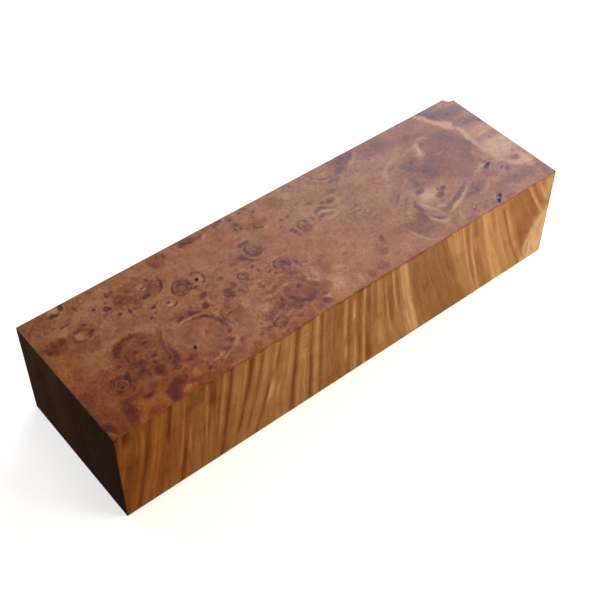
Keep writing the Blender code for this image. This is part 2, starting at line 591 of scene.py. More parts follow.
TOP_MARKS = (
    # closely budded wood, and wood drawn into wrinkles
    *spots(
        CURDLE, (25, 7.6, 5.6, 2.6, 0.9, 5), (15, 21.5, 5.2, 6.5, 0.8, -10),
        (8, 24.5, 3.6, 4.6, 0.9), (24, 33, 9, 3.2, 0.9, -8), (9, 32, 4, 3, 0.5),
        (4, 10, 3, 3, 0.5), (9.5, 9.5, 3.4, 2.2, 0.6), (34.5, 18.5, 3.6, 4, 0.8, -30),
        (28.5, 18, 4, 1.6, 0.8), (49, 21, 6.5, 3.6, 1), (49.5, 28.5, 7.5, 5.4, 1),
        (42, 32, 6.5, 3.2, 0.9), (36.5, 22.5, 3.4, 3.4, 0.9), (54, 4.5, 4.6, 4, 0.5),
        (32, 2, 2.5, 2.2, 0.5), (63, 12, 4, 3, 0.5),
    ),
    *spots(
        CURL, (83, 20, 10, 8, 0.8), (97, 9, 12, 7, 0.6), (78, 4, 10, 5, 0.6), (97, 29, 9, 4, 0.8),
    ),
    # orange wood, and shadowed wood
    *spots(
        GLOW, (9.5, 32.6, 13.5, 5.6, 1), (1.5, 26, 3.4, 9, 0.6), (1.2, 12, 2.4, 7, 0.35),
        (8, 22, 6, 7, 0.16), (24.5, 34.4, 6, 2.6, 0.62), (43, 34.2, 9, 2.8, 0.5),
        (60.4, 23.8, 2.4, 3.4, 0.16), (67, 34, 5, 2.2, 0.2), (83, 10, 5, 3.6, 0.34),
        (103, 14, 8.5, 8.5, 0.6, 0, 0.3),
    ),
    *spots(
        SHADE, (2, 30, 3, 9, 0.3), (14, 14.5, 5, 1.2, 0.3), (16, 24.5, 5, 5.5, 0.34),
        (4, 2, 5, 2, 0.4), (24, 8, 6, 2.4, 0.26), (50, 29, 5, 3.6, 0.34),
        (62.6, 3.4, 2.2, 1.8, 0.4), (84, 1, 6, 3, 0.36), (83, 29, 4, 4, 0.36),
        (93.6, 15.6, 6, 4.6, 0.34, 20), (92, 3.6, 5, 2.4, 0.3), (75, 20, 6, 3, 0.2),
        (103, 30, 6, 2.4, 0.2),
    ),
    # left end, back edge
    *spots(
        BARK, (7.4, 2.3, 0.95, 0.42, 0.6, 5), (9.6, 0.9, 0.55, 1, 0.62, 10),
        (14.4, 6, 0.42, 0.34, 0.5), (16.9, 7.2, 0.9, 0.5, 0.5), (17.3, 5.7, 0.5, 0.3, 0.25),
        (2.9, 10.7, 1.2, 0.9, 0.3), (10.8, 10.6, 1, 0.6, 0.36, -15), (5.4, 9, 0.6, 0.8, 0.3),
        (3.6, 9.2, 0.8, 0.6, 0.26, 30), (1.7, 10.2, 0.5, 0.8, 0.26), (10.9, 8, 0.6, 0.4, 0.34),
        (18.6, 4.2, 0.5, 0.4, 0.36), (19.8, 3.8, 0.5, 0.3, 0.36), (16.2, 1, 0.6, 0.5, 0.3),
        (24.6, 9.4, 1, 0.5, 0.4), (22.6, 5.8, 0.5, 0.4, 0.34), (27.4, 5.7, 0.5, 0.5, 0.4),
    ),
    *spots(
        SAP, (7.9, 1, 0.9, 0.8, 0.42), (8.7, 10.3, 0.8, 0.7, 0.34), (25.4, 5.9, 0.8, 0.6, 0.46),
        (23.2, 7, 0.5, 0.4, 0.3),
    ),
    *strokes(
        BARK, (0.35, 0.4, 11.3, 2, 11.5, 3.2, 11.8, 4.4),
        (0.42, 0.62, 6.7, 6.3, 7.7, 5.95, 8.8, 5.9), (0.3, 0.3, 18.2, 4.4, 18.4, 3.6, 19, 3.3),
    ),
    *rings(
        BARK, (13.8, 1.8, 0.8, 0.7, 0.3, 0.22), (16.9, 7.2, 0.85, 0.5, 0.42, 0.55),
        (9.2, 10.2, 1.9, 1.4, 0.5, 0.36), (16.8, 7.4, 1.8, 1.3, 0.36, 0.3, 60, 200),
        (20.2, 6.4, 0.9, 0.9, 0.34, 0.16),
    ),
    *spots(
        HEART, (15.8, 8.7, 0.8, 0.4, 0.3, -20), (4.6, 8.6, 1.3, 0.8, 0.5),
        (9, 8.5, 1.2, 0.45, 0.28), (3.6, 9.7, 2.6, 1.9, 0.45, 0, 0.4), (22, 4.6, 1, 0.6, 0.44),
        (23.6, 6.2, 0.9, 0.6, 0.4), (24.8, 7.4, 5, 2.8, 0.36, 5, 0.35), (26.4, 9, 1, 0.5, 0.4),
    ),
    *strokes(SAP, (0.4, 0.25, 18, 0.2, 18.3, 1.6, 19.2, 3, 20.6, 3.3)),
    *strokes(HEART, (0.6, 0.2, 21, 3.9, 25, 4.1, 30, 3.7)),
    *rings(HEART, (20, 8.8, 1, 0.8, 0.34, 0.34)),
    # left end, middle
    *spots(
        BARK, (17.9, 10.2, 0.7, 0.38, 0.42, -20), (20.1, 10.7, 0.38, 0.6, 0.48),
        (24.3, 12.9, 0.6, 0.34, 0.5), (22.4, 15.1, 0.4, 0.3, 0.5), (27.4, 13.3, 0.42, 0.34, 0.6),
        (29.6, 6, 0.3, 0.35, 0.36), (32, 11.8, 2, 2, 0.26, 0, 0.2),
    ),
    *rings(
        BARK, (21.9, 10.6, 0.8, 0.55, 0.28, 0.3), (27.4, 13.4, 1.7, 1.4, 0.25, 0.25, 180, 190),
        (26, 7.4, 0.9, 0.8, 0.3, 0.2), (28.1, 7.6, 1.1, 1, 0.34, 0.18),
        (23, 8.4, 0.8, 1, 0.32, 0.2), (32, 11.8, 2, 2, 0.45, 0.36),
        (32, 11.9, 1.1, 1.1, 0.35, 0.34),
    ),
    *strokes(
        BARK, (0.32, 0.6, 23.6, 13.7, 23.8, 14.3, 24.2, 14.8),
        (0.34, 0.42, 22.5, 12.7, 24.6, 12.3, 25.6, 11.9, 27.2, 11.5),
        (0.42, 1, 26.2, 14.7, 27.6, 15, 28.9, 14.5, 29.6, 13.3),
        (0.5, 0.5, 26.4, 10.2, 28.4, 9.4, 29.5, 7.4, 29.3, 5.8),
    ),
    *spots(SAP, (27.3, 14.3, 0.5, 0.4, 0.5), (25.9, 7.2, 0.5, 0.45, 0.4)),
    *strokes(
        SAP, (0.35, 0.25, 25.4, 14.9, 25.4, 13.2, 26.2, 12.2),
        (0.3, 0.22, 27.2, 10.1, 28.8, 9.8, 30, 8.6),
    ),
    *spots(HEART, (9, 13, 3, 1, 0.34), (3.2, 14.8, 0.6, 0.7, 0.35), (5.6, 14.4, 0.5, 0.5, 0.3)),
    # capped ring
    *strokes(
        BARK, (1.1, 0.42, 11.5, 19.6, 11.9, 17.7, 13.4, 16.8, 15.6, 16.2, 17.8, 16.8, 19.8, 18.5),
        (0.3, 0.3, 12.9, 21.8, 13.2, 22.7, 13, 23.2),
    ),
    *spots(
        HEART, (15.8, 20.6, 4.6, 4, 0.45, 0, 0.3), (17.4, 26, 3.8, 2.6, 0.36, 0, 0.4),
        (8.8, 22.5, 1.2, 0.8, 0.62), (6.4, 23, 0.7, 1, 0.5, 15), (21, 20, 0.9, 1.8, 0.5, 25),
        (19.4, 20.6, 0.8, 0.6, 0.34), (18.8, 24.4, 0.8, 0.7, 0.4),
        (8.4, 25, 3.6, 4, 0.42, 0, 0.35),
    ),
    *spots(
        BARK, (12.5, 17.8, 1.8, 1, 0.4, -40), (14.3, 16.9, 1.5, 0.6, 0.25, -10),
        (11.7, 19, 0.6, 0.6, 0.35), (17.7, 19.5, 0.8, 0.4, 0.36), (12.7, 20.8, 0.42, 0.9, 0.42),
        (10.4, 21.5, 0.5, 0.36, 0.45, 20), (14.3, 23.4, 1.2, 0.8, 0.36),
        (17.6, 23.3, 0.5, 0.36, 0.4), (18.8, 22.5, 0.5, 0.3, 0.26, -25),
        (10.8, 23.9, 0.4, 0.7, 0.3), (15, 20.4, 0.7, 0.5, 0.3), (16, 25.4, 0.8, 0.6, 0.34),
        (13.6, 25, 0.7, 0.7, 0.34), (19.2, 28.6, 0.8, 0.6, 0.4),
    ),
    *rings(SAP, (17.2, 23, 1.7, 1.3, 0.3, 0.2), (8.5, 25.4, 3.5, 3.4, 0.35, 0.22, 20, 170)),
    *strokes(
        SAP, (0.35, 0.22, 7.6, 21.6, 7.8, 23.2, 9.4, 23.6),
        (0.45, 0.4, 23.2, 18.2, 21.6, 20.8, 20.4, 23.8, 20, 26.4),
        (0.4, 0.2, 13, 24.6, 14.6, 25.2, 16.6, 24.6, 18.4, 23.6),
        (0.36, 0.18, 14.8, 21.8, 16.8, 21.4, 18.6, 21),
    ),
    *rings(HEART, (8.3, 25, 3.2, 3.4, 0.6, 0.5, 120, 170)),
    # concentric eye
    *rings(
        BARK, (8.5, 25.6, 0.8, 0.8, 0.34, 0.4), (8.5, 25.6, 1.7, 1.6, 0.36, 0.42),
        (8.5, 25.6, 2.3, 2.2, 0.36, 0.36, 190, 160),
    ),
    *rings(HEART, (8.5, 25.6, 2.1, 2, 0.8, 0.5), (8.5, 25.6, 2.7, 2.5, 0.45, 0.5)),
    *spots(
        HEART, (8.6, 22.6, 1.6, 0.9, 0.6, 0, 0.3), (5.4, 25.6, 0.7, 1.7, 0.5, -8),
        (8.2, 29.2, 2.6, 0.9, 1, -4, 0.22), (10, 28.6, 1, 0.5, 0.3, -40),
    ),
    *spots(
        BARK, (8.4, 25.7, 0.4, 0.4, 0.4), (13, 26.2, 1.9, 1.2, 0.28, 10),
        (16.3, 27.3, 1.1, 1.2, 0.5, 20), (20, 27.3, 0.7, 1.4, 0.34, 15),
        (22.4, 28.4, 1.6, 0.6, 0.34, -12), (19.3, 25.8, 0.36, 0.22, 0.36, -20),
    ),
    *spots(SAP, (8.6, 27.2, 0.6, 0.4, 0.22)),
    *strokes(SAP, (0.4, 0.22, 17, 28.3, 18.2, 27.3, 18.6, 26.2)),
    *spots(SHADE, (8.2, 29.3, 2.4, 0.8, 0.3, -4)),
    # light disc
    *spots(SAP, (27, 24.2, 4.4, 3.4, 0.06), (28.4, 24.9, 0.3, 0.3, 0.3)),
    *spots(
        HEART, (27, 25.4, 6.4, 5.6, 0.3, 0, 0.3), (16.4, 23, 5, 5.6, 0.36, 0, 0.3),
        (24.8, 29.4, 1.5, 0.7, 0.2), (35.6, 26, 0.7, 0.6, 0.34), (31.2, 32.4, 1.2, 0.8, 0.4),
        (27.8, 33.6, 1.3, 0.8, 0.5), (35, 33.6, 1, 0.8, 0.36), (33, 35, 1.2, 0.5, 0.4),
    ),
    *strokes(
        BARK, (1.1, 0.4, 21.4, 29.4, 20.6, 26, 20.6, 22, 22.2, 18.6),
        (0.9, 0.5, 25.3, 20, 28.6, 20.4, 31, 21, 32.8, 23.2, 33.2, 26, 32.8, 27.4),
        (0.4, 0.4, 33.7, 22, 34, 24.5, 34.3, 26.3, 33.9, 28),
    ),
    *strokes(
        SAP, (0.3, 0.24, 33.3, 20.6, 33.4, 23.5, 33.9, 26.2, 33.6, 28.2),
        (0.4, 0.4, 24.4, 19.9, 27.6, 19.9, 30, 20.2, 32, 21),
        (0.45, 0.22, 33.8, 28, 32.4, 30.2, 29.6, 31.8, 26.4, 32.8),
    ),
    *spots(
        BARK, (26.8, 18.9, 1.1, 0.5, 0.46, 8), (29.8, 19.2, 1.5, 0.6, 0.44, 14),
        (24.7, 26.8, 0.5, 0.4, 0.6, -45), (32.6, 27.6, 0.4, 0.7, 0.45, 25),
        (31.4, 29.2, 0.8, 0.6, 0.46, 20), (29.6, 31.2, 1.1, 0.5, 0.36),
        (33.4, 30.8, 0.9, 0.5, 0.34),
    ),
    *rings(BARK, (28.8, 24.8, 0.45, 0.45, 0.26, 0.6, -70, 200)),
    *strokes(HEART, (0.6, 0.36, 25.4, 17.6, 27.6, 17.8, 30.4, 18.2)),
    *rings(HEART, (34.9, 22.9, 0.8, 0.8, 0.34, 0.44), (36.9, 24.3, 0.9, 0.9, 0.34, 0.4)),
    # front left, where the wood is redder
    # The first heart stroke runs along the whole front edge: painted shade that darkens the lit
    # arris, over a thin redder line of the wood.
    *strokes(
        HEART, (0.4, 0.35, -30, 35.5, 60, 35.5, 150, 35.5), (1.3, 1, 0.2, 30.4, 1, 33, 2.2, 35.4),
    ),
    *spots(
        HEART, (21.4, 34, 1.4, 0.9, 0.7), (10.4, 34.6, 1.6, 0.8, 0.4), (3.4, 34.8, 0.7, 1.2, 0.4),
        (13.2, 29.6, 1.2, 0.8, 0.4, 20), (19.4, 30.8, 1, 0.8, 0.5, -20), (24.4, 35, 1, 0.6, 0.56),
        (6, 32.6, 1.3, 3, 1, 8, 0.22), (11.3, 30.9, 1, 0.7, 1, 0, 0.25),
        (16.8, 32.2, 2.5, 1.5, 1, -25, 0.2), (15.2, 34, 1.5, 2, 1, 20, 0.22),
        (20.4, 35, 2.2, 0.8, 0.5), (22.2, 34.2, 0.9, 0.6, 0.4), (28.4, 32.8, 1.4, 0.5, 0.3, -20),
        (25.9, 32.1, 0.5, 0.4, 0.35),
    ),
    *spots(
        SAP, (9, 31.4, 0.9, 1.2, 0.2), (18.4, 34.6, 1.2, 0.8, 0.2), (22.4, 31.6, 1.5, 1, 0.22),
        (18.9, 34, 0.9, 0.7, 0.16, -40), (19.6, 33.9, 0.25, 0.4, 0.4),
    ),
    *spots(
        SHADE, (6, 32.4, 1.1, 2.8, 0.7, 8), (11.3, 30.9, 0.8, 0.5, 0.5),
        (16.8, 32.2, 2.3, 1.4, 0.75, -25), (15.2, 34, 1.4, 1.9, 0.8, 20),
    ),
    *spots(LIGHT, (11.6, 33, 2.2, 1.8, 0.5)),
    *spots(GLOW, (13, 33, 9, 3.4, 0.5, 0, 0.3)),
    *rings(HEART, (22.5, 32, 2.1, 1.6, 0.35, 0.42)),
    *strokes(SHADE, (1.2, 0.6, 0.2, 30.4, 1, 33, 2.2, 35.4)),
    *strokes(
        SAP, (0.4, 0.25, 0, 33, 0.7, 34.3, 1.5, 35.4),
        (0.4, 0.32, 25.4, 31.2, 27.3, 31.6, 29.2, 31), (0.35, 0.3, 26, 34, 27.6, 32.9, 29.4, 31.8),
    ),
    # middle, back edge
    *spots(
        BARK, (33.9, 1.6, 0.4, 0.5, 0.5), (50.7, 5, 0.5, 0.4, 0.4), (52, 5.4, 0.5, 0.3, 0.34),
        (54.4, 1.5, 0.6, 0.35, 0.42, -15), (57.2, 2.8, 0.6, 0.35, 0.32),
        (56, 4.4, 0.5, 0.35, 0.26), (55.9, 8, 0.4, 0.3, 0.45),
    ),
    *strokes(
        BARK, (0.3, 0.34, 32.3, 2.1, 32.7, 1.2, 33.3, 0.3),
        (0.3, 0.5, 47.7, -0.5, 47.8, 1.5, 48.1, 3.4), (0.4, 0.35, 47.9, 1.5, 49.5, 0.7, 50.6, 0.2),
        (0.42, 0.45, 54.7, 5.3, 54.6, 6.9, 55.3, 7.8, 56.1, 8.1),
        (0.35, 0.34, 56.8, 7.2, 57.7, 6.8, 58.4, 6),
    ),
    *spots(
        HEART, (31, 3.2, 0.9, 0.7, 0.26), (32.6, 2, 2.4, 1.8, 0.3, 0, 0.4),
        (55.6, 6.4, 2.2, 2, 0.3, 0, 0.4), (51.6, 4.6, 1.6, 1.6, 0.28, 0, 0.4),
        (28.6, 18.2, 4.4, 1.2, 0.34, 8, 0.4), (34, 17.8, 1.8, 2.6, 0.3, 30, 0.4),
        (52.6, 20, 2.6, 2.2, 0.36, 0, 0.4), (41.6, 1.6, 2.2, 0.7, 0.22),
    ),
    *rings(
        BARK, (42, -1, 3.8, 3.4, 0.5, 0.34, 15, 150), (51.9, 3.9, 0.42, 0.4, 0.36, 0.5),
        (55.5, 6.6, 0.7, 0.8, 0.25, 0.26),
    ),
    *strokes(
        SAP, (0.5, 0.34, 44.8, 0.6, 44.4, 2.2, 43.4, 3.6),
        (0.4, 0.2, 37.2, 0.8, 38.3, 2.3, 38.8, 4.2), (0.35, 0.22, 56.6, 5.9, 57.6, 5.2, 58.5, 4.2),
    ),
    # middle, round the dark pocket
    *spots(
        BARK, (35.8, 11.9, 0.36, 0.6, 0.5, 25), (34.1, 13.5, 0.7, 0.4, 0.42),
        (39.7, 14.7, 0.6, 0.5, 0.52, 30), (34.4, 16.6, 1.1, 0.8, 0.44, -10),
        (33, 18.9, 0.9, 0.55, 0.5, -50), (38.6, 19.3, 1, 1.5, 0.72), (40.9, 17.9, 0.7, 0.8, 0.4),
        (38.6, 20.3, 0.36, 0.5, 0.36), (43.8, 18.6, 0.45, 0.3, 0.36),
        (46.8, 16.3, 0.5, 0.38, 0.5, -15), (47.3, 17.8, 0.4, 0.32, 0.5, -25),
    ),
    *rings(
        BARK, (35.9, 11.7, 1.6, 1.9, 0.45, 0.44, 250, 190),
        (38.6, 19.2, 0.85, 1.15, 0.4, 0.55, 0, 360, 5), (41.6, 20.3, 0.9, 1.1, 0.28, 0.24),
        (43.6, 17, 1, 0.95, 0.36, 0.42),
    ),
    *spots(
        SAP, (36.7, 11.9, 0.5, 1, 0.24), (38.2, 19.1, 0.3, 0.6, 0.3), (49.3, 17.8, 1.2, 0.8, 0.14),
    ),
    *strokes(SAP, (0.35, 0.3, 35.8, 15.9, 34.6, 17.4, 33.9, 19.4, 33.3, 20.7)),
    *spots(HEART, (31.8, 19.7, 0.7, 0.4, 0.4)),
    *strokes(
        BARK, (0.46, 1, 38.6, 18, 38.65, 19.2, 38.6, 20.8),
        (0.5, 0.52, 41.3, 19.6, 41.4, 20.5, 41.8, 21.4),
        (0.4, 0.55, 43.4, 16.3, 43.9, 16.9, 44.4, 17.1),
    ),
    # middle, crescent eye
    *rings(
        BARK, (50.2, 12.2, 1.8, 1.8, 0.6, 0.66, 60, 160),
        (50.1, 12.2, 1.9, 1.9, 0.36, 0.3, 170, 120), (49.9, 12.3, 2.8, 2.7, 0.5, 0.28, 110, 190),
    ),
    *strokes(
        BARK, (0.6, 0.42, 47.2, 10.1, 48.8, 9.5, 50.2, 9.6, 51.6, 9.9),
        (0.8, 0.38, 46.8, 12, 47.4, 13.9, 48.8, 15.2, 50.6, 16),
    ),
    *spots(
        BARK, (51.8, 12.4, 0.4, 0.36, 0.46), (51.9, 13.4, 0.7, 0.5, 0.3),
        (50.3, 13.2, 1.1, 0.7, 0.46), (50.2, 12.4, 1.9, 1.6, 0.26, 0, 0.3),
        (46.7, 12.9, 1.3, 1, 0.36, 30), (44.4, 13.2, 1, 0.5, 0.3), (49, 0.7, 0.9, 0.6, 0.4),
        (51.8, 1.8, 0.8, 0.9, 0.34), (40.4, 1.4, 1.6, 1, 0.34), (38.8, 1.8, 0.7, 0.6, 0.3),
        (56.2, 1, 0.8, 0.5, 0.34),
    ),
    *spots(SAP, (51.3, 4.9, 0.35, 0.5, 0.44)),
    *spots(HEART, (46, 15, 1, 0.6, 0.36), (40.2, 18.4, 0.6, 0.6, 0.44), (40.6, 16.4, 1, 0.7, 0.3)),
    # middle, lower cluster
    *strokes(
        SAP, (0.4, 0.4, 50.2, 19.2, 51, 18, 52.6, 17.4, 54, 18),
        (0.45, 0.4, 42, 25.4, 43.8, 24.9, 46, 25.2, 48.4, 24.4, 50.8, 24.8),
        (0.4, 0.4, 54.6, 24.2, 54, 26.2, 54.8, 28),
        (0.5, 0.28, 43.4, 25.6, 42.4, 27.2, 41.6, 28.6),
    ),
    *rings(SAP, (49.6, 27.4, 3, 2.6, 0.6, 0.3, 170, 200)),
    *spots(
        HEART, (49.4, 28, 1.2, 0.9, 0.34), (45.2, 26, 0.9, 0.6, 0.4), (45, 30.2, 1.2, 0.6, 0.44),
        (47.2, 31, 1, 0.6, 0.46), (58.6, 25.6, 0.8, 2, 0.24), (56, 29.8, 0.7, 1.4, 0.3),
        (55.6, 26.9, 0.4, 0.35, 0.5), (50.8, 33.8, 0.8, 0.6, 0.36), (48.4, 34.6, 0.9, 0.5, 0.4),
        (40.6, 35, 1, 0.4, 0.4), (54.2, 18.9, 0.5, 0.5, 0.34), (46.8, 22, 0.6, 0.4, 0.36),
        (48, 21.7, 0.4, 0.4, 0.4), (46.4, 24.4, 1.2, 0.5, 0.3, -15),
        (51.5, 29.6, 0.9, 1.4, 0.6, 8), (49.6, 28, 3.6, 3.2, 0.4, 0, 0.3), (52.9, 26, 0.7, 1, 0.5),
        (54.2, 29, 0.9, 1.5, 0.56, -10), (38.4, 31.7, 0.36, 0.5, 0.4),
        (39.9, 31.7, 0.3, 0.36, 0.34), (38.3, 34.2, 0.5, 0.6, 0.36), (44.3, 32.3, 0.5, 0.34, 0.36),
        (46.5, 33, 0.5, 0.4, 0.42), (43.4, 34.9, 0.9, 0.6, 0.7), (31.4, 29.8, 0.8, 0.5, 0.34, 20),
        (36.8, 24, 1.1, 0.9, 0.5), (36.9, 21.4, 1.3, 0.5, 0.4, 40),
    ),
    *spots(
        BARK, (44.8, 28.6, 0.9, 0.6, 0.36), (52.7, 19, 0.7, 0.5, 0.5),
        (53.3, 20.1, 0.8, 0.7, 0.56), (49.8, 20.7, 0.36, 0.45, 0.46),
        (52.5, 22.8, 0.7, 0.5, 0.5, 10), (53.8, 23.3, 0.36, 0.5, 0.36),
        (56.6, 22, 0.6, 0.4, 0.56, 30), (50.6, 30.6, 1.8, 0.6, 0.3, -5),
        (46, 27.6, 0.4, 0.34, 0.44), (42, 29.2, 1, 0.7, 0.36, -8), (42.1, 32, 1.2, 0.9, 0.2, 8),
        (53.1, 33.2, 0.7, 0.9, 0.5, -15),
    ),
    *spots(
        SAP, (58, 31, 1.8, 2.4, 0.44, 20), (56, 26.6, 0.7, 2.6, 0.3, 8),
        (42, 26.6, 1.3, 1.3, 0.16), (42.1, 32.1, 1, 0.6, 0.16), (54.2, 32.4, 0.5, 0.5, 0.3),
    ),
    *rings(
        BARK, (52.5, 19, 1.6, 1.3, 0.35, 0.38, 150, 200), (44.4, 28.4, 0.9, 0.9, 0.35, 0.36),
        (42.1, 32, 1.4, 1.05, 0.34, 0.5, 0, 360, 8),
    ),
    *rings(
        HEART, (45.6, 21.2, 0.7, 0.7, 0.32, 0.42), (47, 20.9, 0.6, 0.5, 0.3, 0.4),
        (53.4, 32.7, 1.3, 1.3, 0.6, 0.6, 100, 220),
    ),
    *strokes(
        BARK, (0.75, 0.44, 54.9, 19.6, 55.1, 21.2, 54.8, 22.8),
        (1, 0.44, 47.2, 26.4, 47.9, 28.2, 49, 30, 50.6, 31),
    ),
    *strokes(
        HEART, (1, 0.58, 42.4, 24.2, 44.2, 23.7, 46.2, 24.2, 49, 23.3, 51.2, 23.8, 52.8, 25.2),
        (0.4, 0.36, 41, 30.8, 42.4, 30.5, 43.6, 30.6),
        (0.35, 0.3, 35.9, 33.6, 37, 32.2, 37.9, 31.2),
    ),
    # right of the middle
    *spots(
        BARK, (60.7, 9, 0.5, 0.4, 0.42), (62.1, 9, 0.5, 0.42, 0.36),
        (60.4, 12.9, 0.7, 0.9, 0.66, -25), (64, 12.9, 1, 0.3, 0.3), (66.1, 12.6, 0.4, 0.6, 0.3),
        (68.4, 13.3, 0.8, 0.4, 0.4), (71.2, 10.2, 0.55, 0.42, 0.6), (73, 10.7, 1.1, 0.8, 0.44),
        (66.4, 6.9, 0.6, 0.34, 0.26, -20), (69, 8.4, 1, 0.4, 0.16), (75, 8.5, 1.4, 0.6, 0.32),
        (68.6, 8.5, 1.4, 0.5, 0.3),
    ),
    *strokes(
        BARK, (0.4, 0.34, 58.6, 11, 59.4, 10.4, 59.9, 10.2),
        (0.5, 0.9, 64.2, 11, 64.4, 12.2, 64.7, 13.2),
        (0.28, 0.44, 62.4, 11.6, 62.2, 13.2, 62.5, 14.8),
        (0.24, 0.36, 63.3, 12.8, 63.2, 13.8, 63.4, 14.8),
        (0.24, 0.36, 64.2, 13.4, 64.2, 14.2, 64.4, 15),
        (0.7, 0.48, 67.5, 13, 68, 11.6, 69.3, 11.1, 70.8, 11.8, 72, 12.6),
        (0.75, 0.5, 67.5, 13, 68.8, 13.1, 70.2, 13.7, 71.8, 14.1),
        (0.4, 0.4, 65.4, 11.8, 66.2, 12.8, 66, 14),
    ),
    *strokes(
        SAP, (0.35, 0.3, 68.4, 12.3, 69.6, 12.2, 71, 13.2, 72.2, 13.4),
        (0.35, 0.3, 70.6, 10.6, 71.2, 11.7, 72.4, 12),
        (0.45, 0.34, 66.8, 14.4, 69.4, 14.9, 72.6, 14.8),
        (0.4, 0.4, 69, 12.2, 70.4, 12.8, 71.8, 13.4),
    ),
    *spots(HEART, (60.7, 14.2, 0.6, 0.9, 0.5), (64, 14.2, 1, 0.9, 0.46)),
    *rings(BARK, (64.2, 13.4, 2, 2, 0.4, 0.34, 90, 200)),
    # ripples between the bowl and the pip rings
    *strokes(
        BARK, (0.34, 0.3, 73, 15.4, 75.6, 15.6, 78.4, 15),
        (0.34, 0.3, 74.6, 19.2, 76.8, 19.2, 79.6, 18.4),
        (0.34, 0.3, 75.8, 20.8, 77.6, 20.7, 79, 20.2), (0.4, 0.3, 82.6, 21.4, 85, 19.6, 88, 18),
        (0.36, 0.28, 83.6, 23.2, 86, 21.4, 88.4, 20.4),
    ),
    *strokes(
        SAP, (0.34, 0.16, 72.8, 17.4, 75, 17.8, 78, 17.2),
        (0.3, 0.16, 76.4, 20, 78, 19.9, 79.4, 19.4), (0.4, 0.16, 82.8, 22.4, 85.6, 20.4, 89, 18.8),
    ),
    # bowl at the back edge
    *strokes(
        BARK, (0.7, 0.44, 76, 5.6, 78.2, 6.2, 80.4, 6),
        (0.5, 0.34, 75.8, 0.4, 77.2, 1.8, 79.4, 2.4, 81.6, 1.6),
        (1.1, 0.36, 73.2, 0, 74.2, 2.4, 76, 4.3, 79.2, 5, 82.3, 4, 86, 2, 88.4, -0.2),
        (0.34, 0.24, 73.8, 16.8, 75.6, 16.9, 79, 16.1),
    ),
    *spots(
        BARK, (80.7, 4.2, 1.4, 0.7, 0.5, -20), (83.6, 1.6, 2.6, 1.3, 0.4, -12),
        (87.2, 0.8, 1.8, 0.9, 0.32, -35), (77.8, 5.8, 1.6, 0.45, 0.3, 6),
        (84.2, 6.8, 0.6, 0.5, 0.22),
    ),
    *strokes(
        SAP, (0.4, 0.5, 72.8, 0.6, 74.4, 3.4, 77.2, 5.2, 80.6, 5.4),
        (0.8, 0.24, 82.6, 5.2, 85, 3.7, 87.4, 2.2, 88.9, 0.2),
        (0.5, 0.26, 76.6, 2.7, 77.8, 2.7, 79, 2.1),
        (0.34, 0.2, 75.2, 16.2, 76.3, 16.35, 77.2, 16.2),
        (0.3, 0.18, 76.3, 18.2, 77.1, 18.2, 77.9, 18),
        (0.45, 0.16, 89.8, 10, 88, 11.8, 87, 13.8, 85.6, 15.4),
    ),
    *spots(
        SAP, (66, 3.2, 0.8, 1.3, 0.2), (82.5, 9, 2.8, 1.6, 0.16), (86, 15.8, 1.4, 0.6, 0.2, -35),
    ),
    # right of the middle, towards the front
    *strokes(
        BARK, (1, 0.5, 73.5, 28.6, 73.9, 27, 74.8, 25.2),
        (0.36, 0.5, 70.9, 28.4, 71.4, 27.9, 72, 27.4),
        (0.5, 0.46, 66.9, 33, 67.8, 33.3, 68.4, 34.2),
    ),
    *strokes(
        SAP, (0.22, 0.45, 73.7, 27.2, 73.9, 26.7, 74, 26.3),
        (0.3, 0.26, 70.6, 31, 71.6, 31.5, 73, 31.6),
        (0.55, 0.4, 60.4, 27.2, 61.4, 27.6, 62.6, 28.4),
        (0.5, 0.3, 63.8, 30.2, 63, 32.4, 62.2, 35), (0.4, 0.3, 64.6, 32.4, 64.2, 33.8, 64, 35.2),
        (0.5, 0.24, 58, 30.4, 57, 32.4, 56.4, 34.6),
        (0.6, 0.32, 84.4, 23.6, 83.6, 25.6, 83.2, 27.8),
        (0.6, 0.4, 79.6, 27.4, 80.4, 31, 81.6, 33.4, 83.6, 35.2),
    ),
    *spots(
        HEART, (71.7, 30.2, 1.1, 0.8, 0.5, -10), (65.4, 33.6, 1, 1, 0.4),
        (69.3, 33.2, 0.6, 0.9, 0.4), (60, 24.2, 1, 1.8, 0.24),
    ),
    *spots(SAP, (61.2, 28, 1.6, 1.2, 0.22)),
    *spots(
        BARK, (82.4, 28.6, 2.6, 2.4, 0.2, 20), (85.4, 27.2, 0.9, 1.9, 0.5),
        (84, 31.6, 3, 1.2, 0.2),
    ),
    # crescent that opens to the right
    *strokes(
        BARK, (0.8, 0.75, 88.2, 22.4, 86.9, 23.8, 86.7, 25.8, 87.4, 27.4),
        (0.7, 0.72, 86.8, 28.2, 87.4, 29.5, 88.3, 30.4, 89, 30.4),
    ),
    *strokes(
        SAP, (0.6, 0.6, 86.3, 28, 87, 30.2, 88.8, 31.5, 90.8, 31),
        (0.6, 0.5, 88.6, 23.4, 88.4, 25.4, 89.2, 27.4, 90.8, 28.6),
    ),
    *spots(SAP, (91.6, 23.2, 2.6, 1.6, 0.6, -15), (89.6, 29, 0.5, 0.9, 0.32)),
    # big round figure at the right
    *spots(
        BARK, (90.6, 21, 1.2, 0.8, 0.5, 10), (93.5, 24.7, 1.1, 0.7, 0.5, -20),
        (94.4, 23.1, 0.4, 0.4, 0.4), (95.6, 23.4, 0.6, 0.4, 0.6, -35),
        (101.4, 27.9, 2.6, 1.5, 0.34, -10), (103.6, 23.8, 1.6, 1, 0.24, -35),
        (98.8, 28.8, 3.2, 0.8, 0.22, 4), (101.8, 9, 0.9, 0.5, 0.3, -30),
        (95.6, 12.6, 0.9, 0.6, 0.34, -35), (94.2, 13.4, 1, 2, 0.36, -32),
        (91.8, 18.2, 1.7, 0.7, 0.28, -50), (96.4, 17.4, 1.8, 2.4, 0.34, -20),
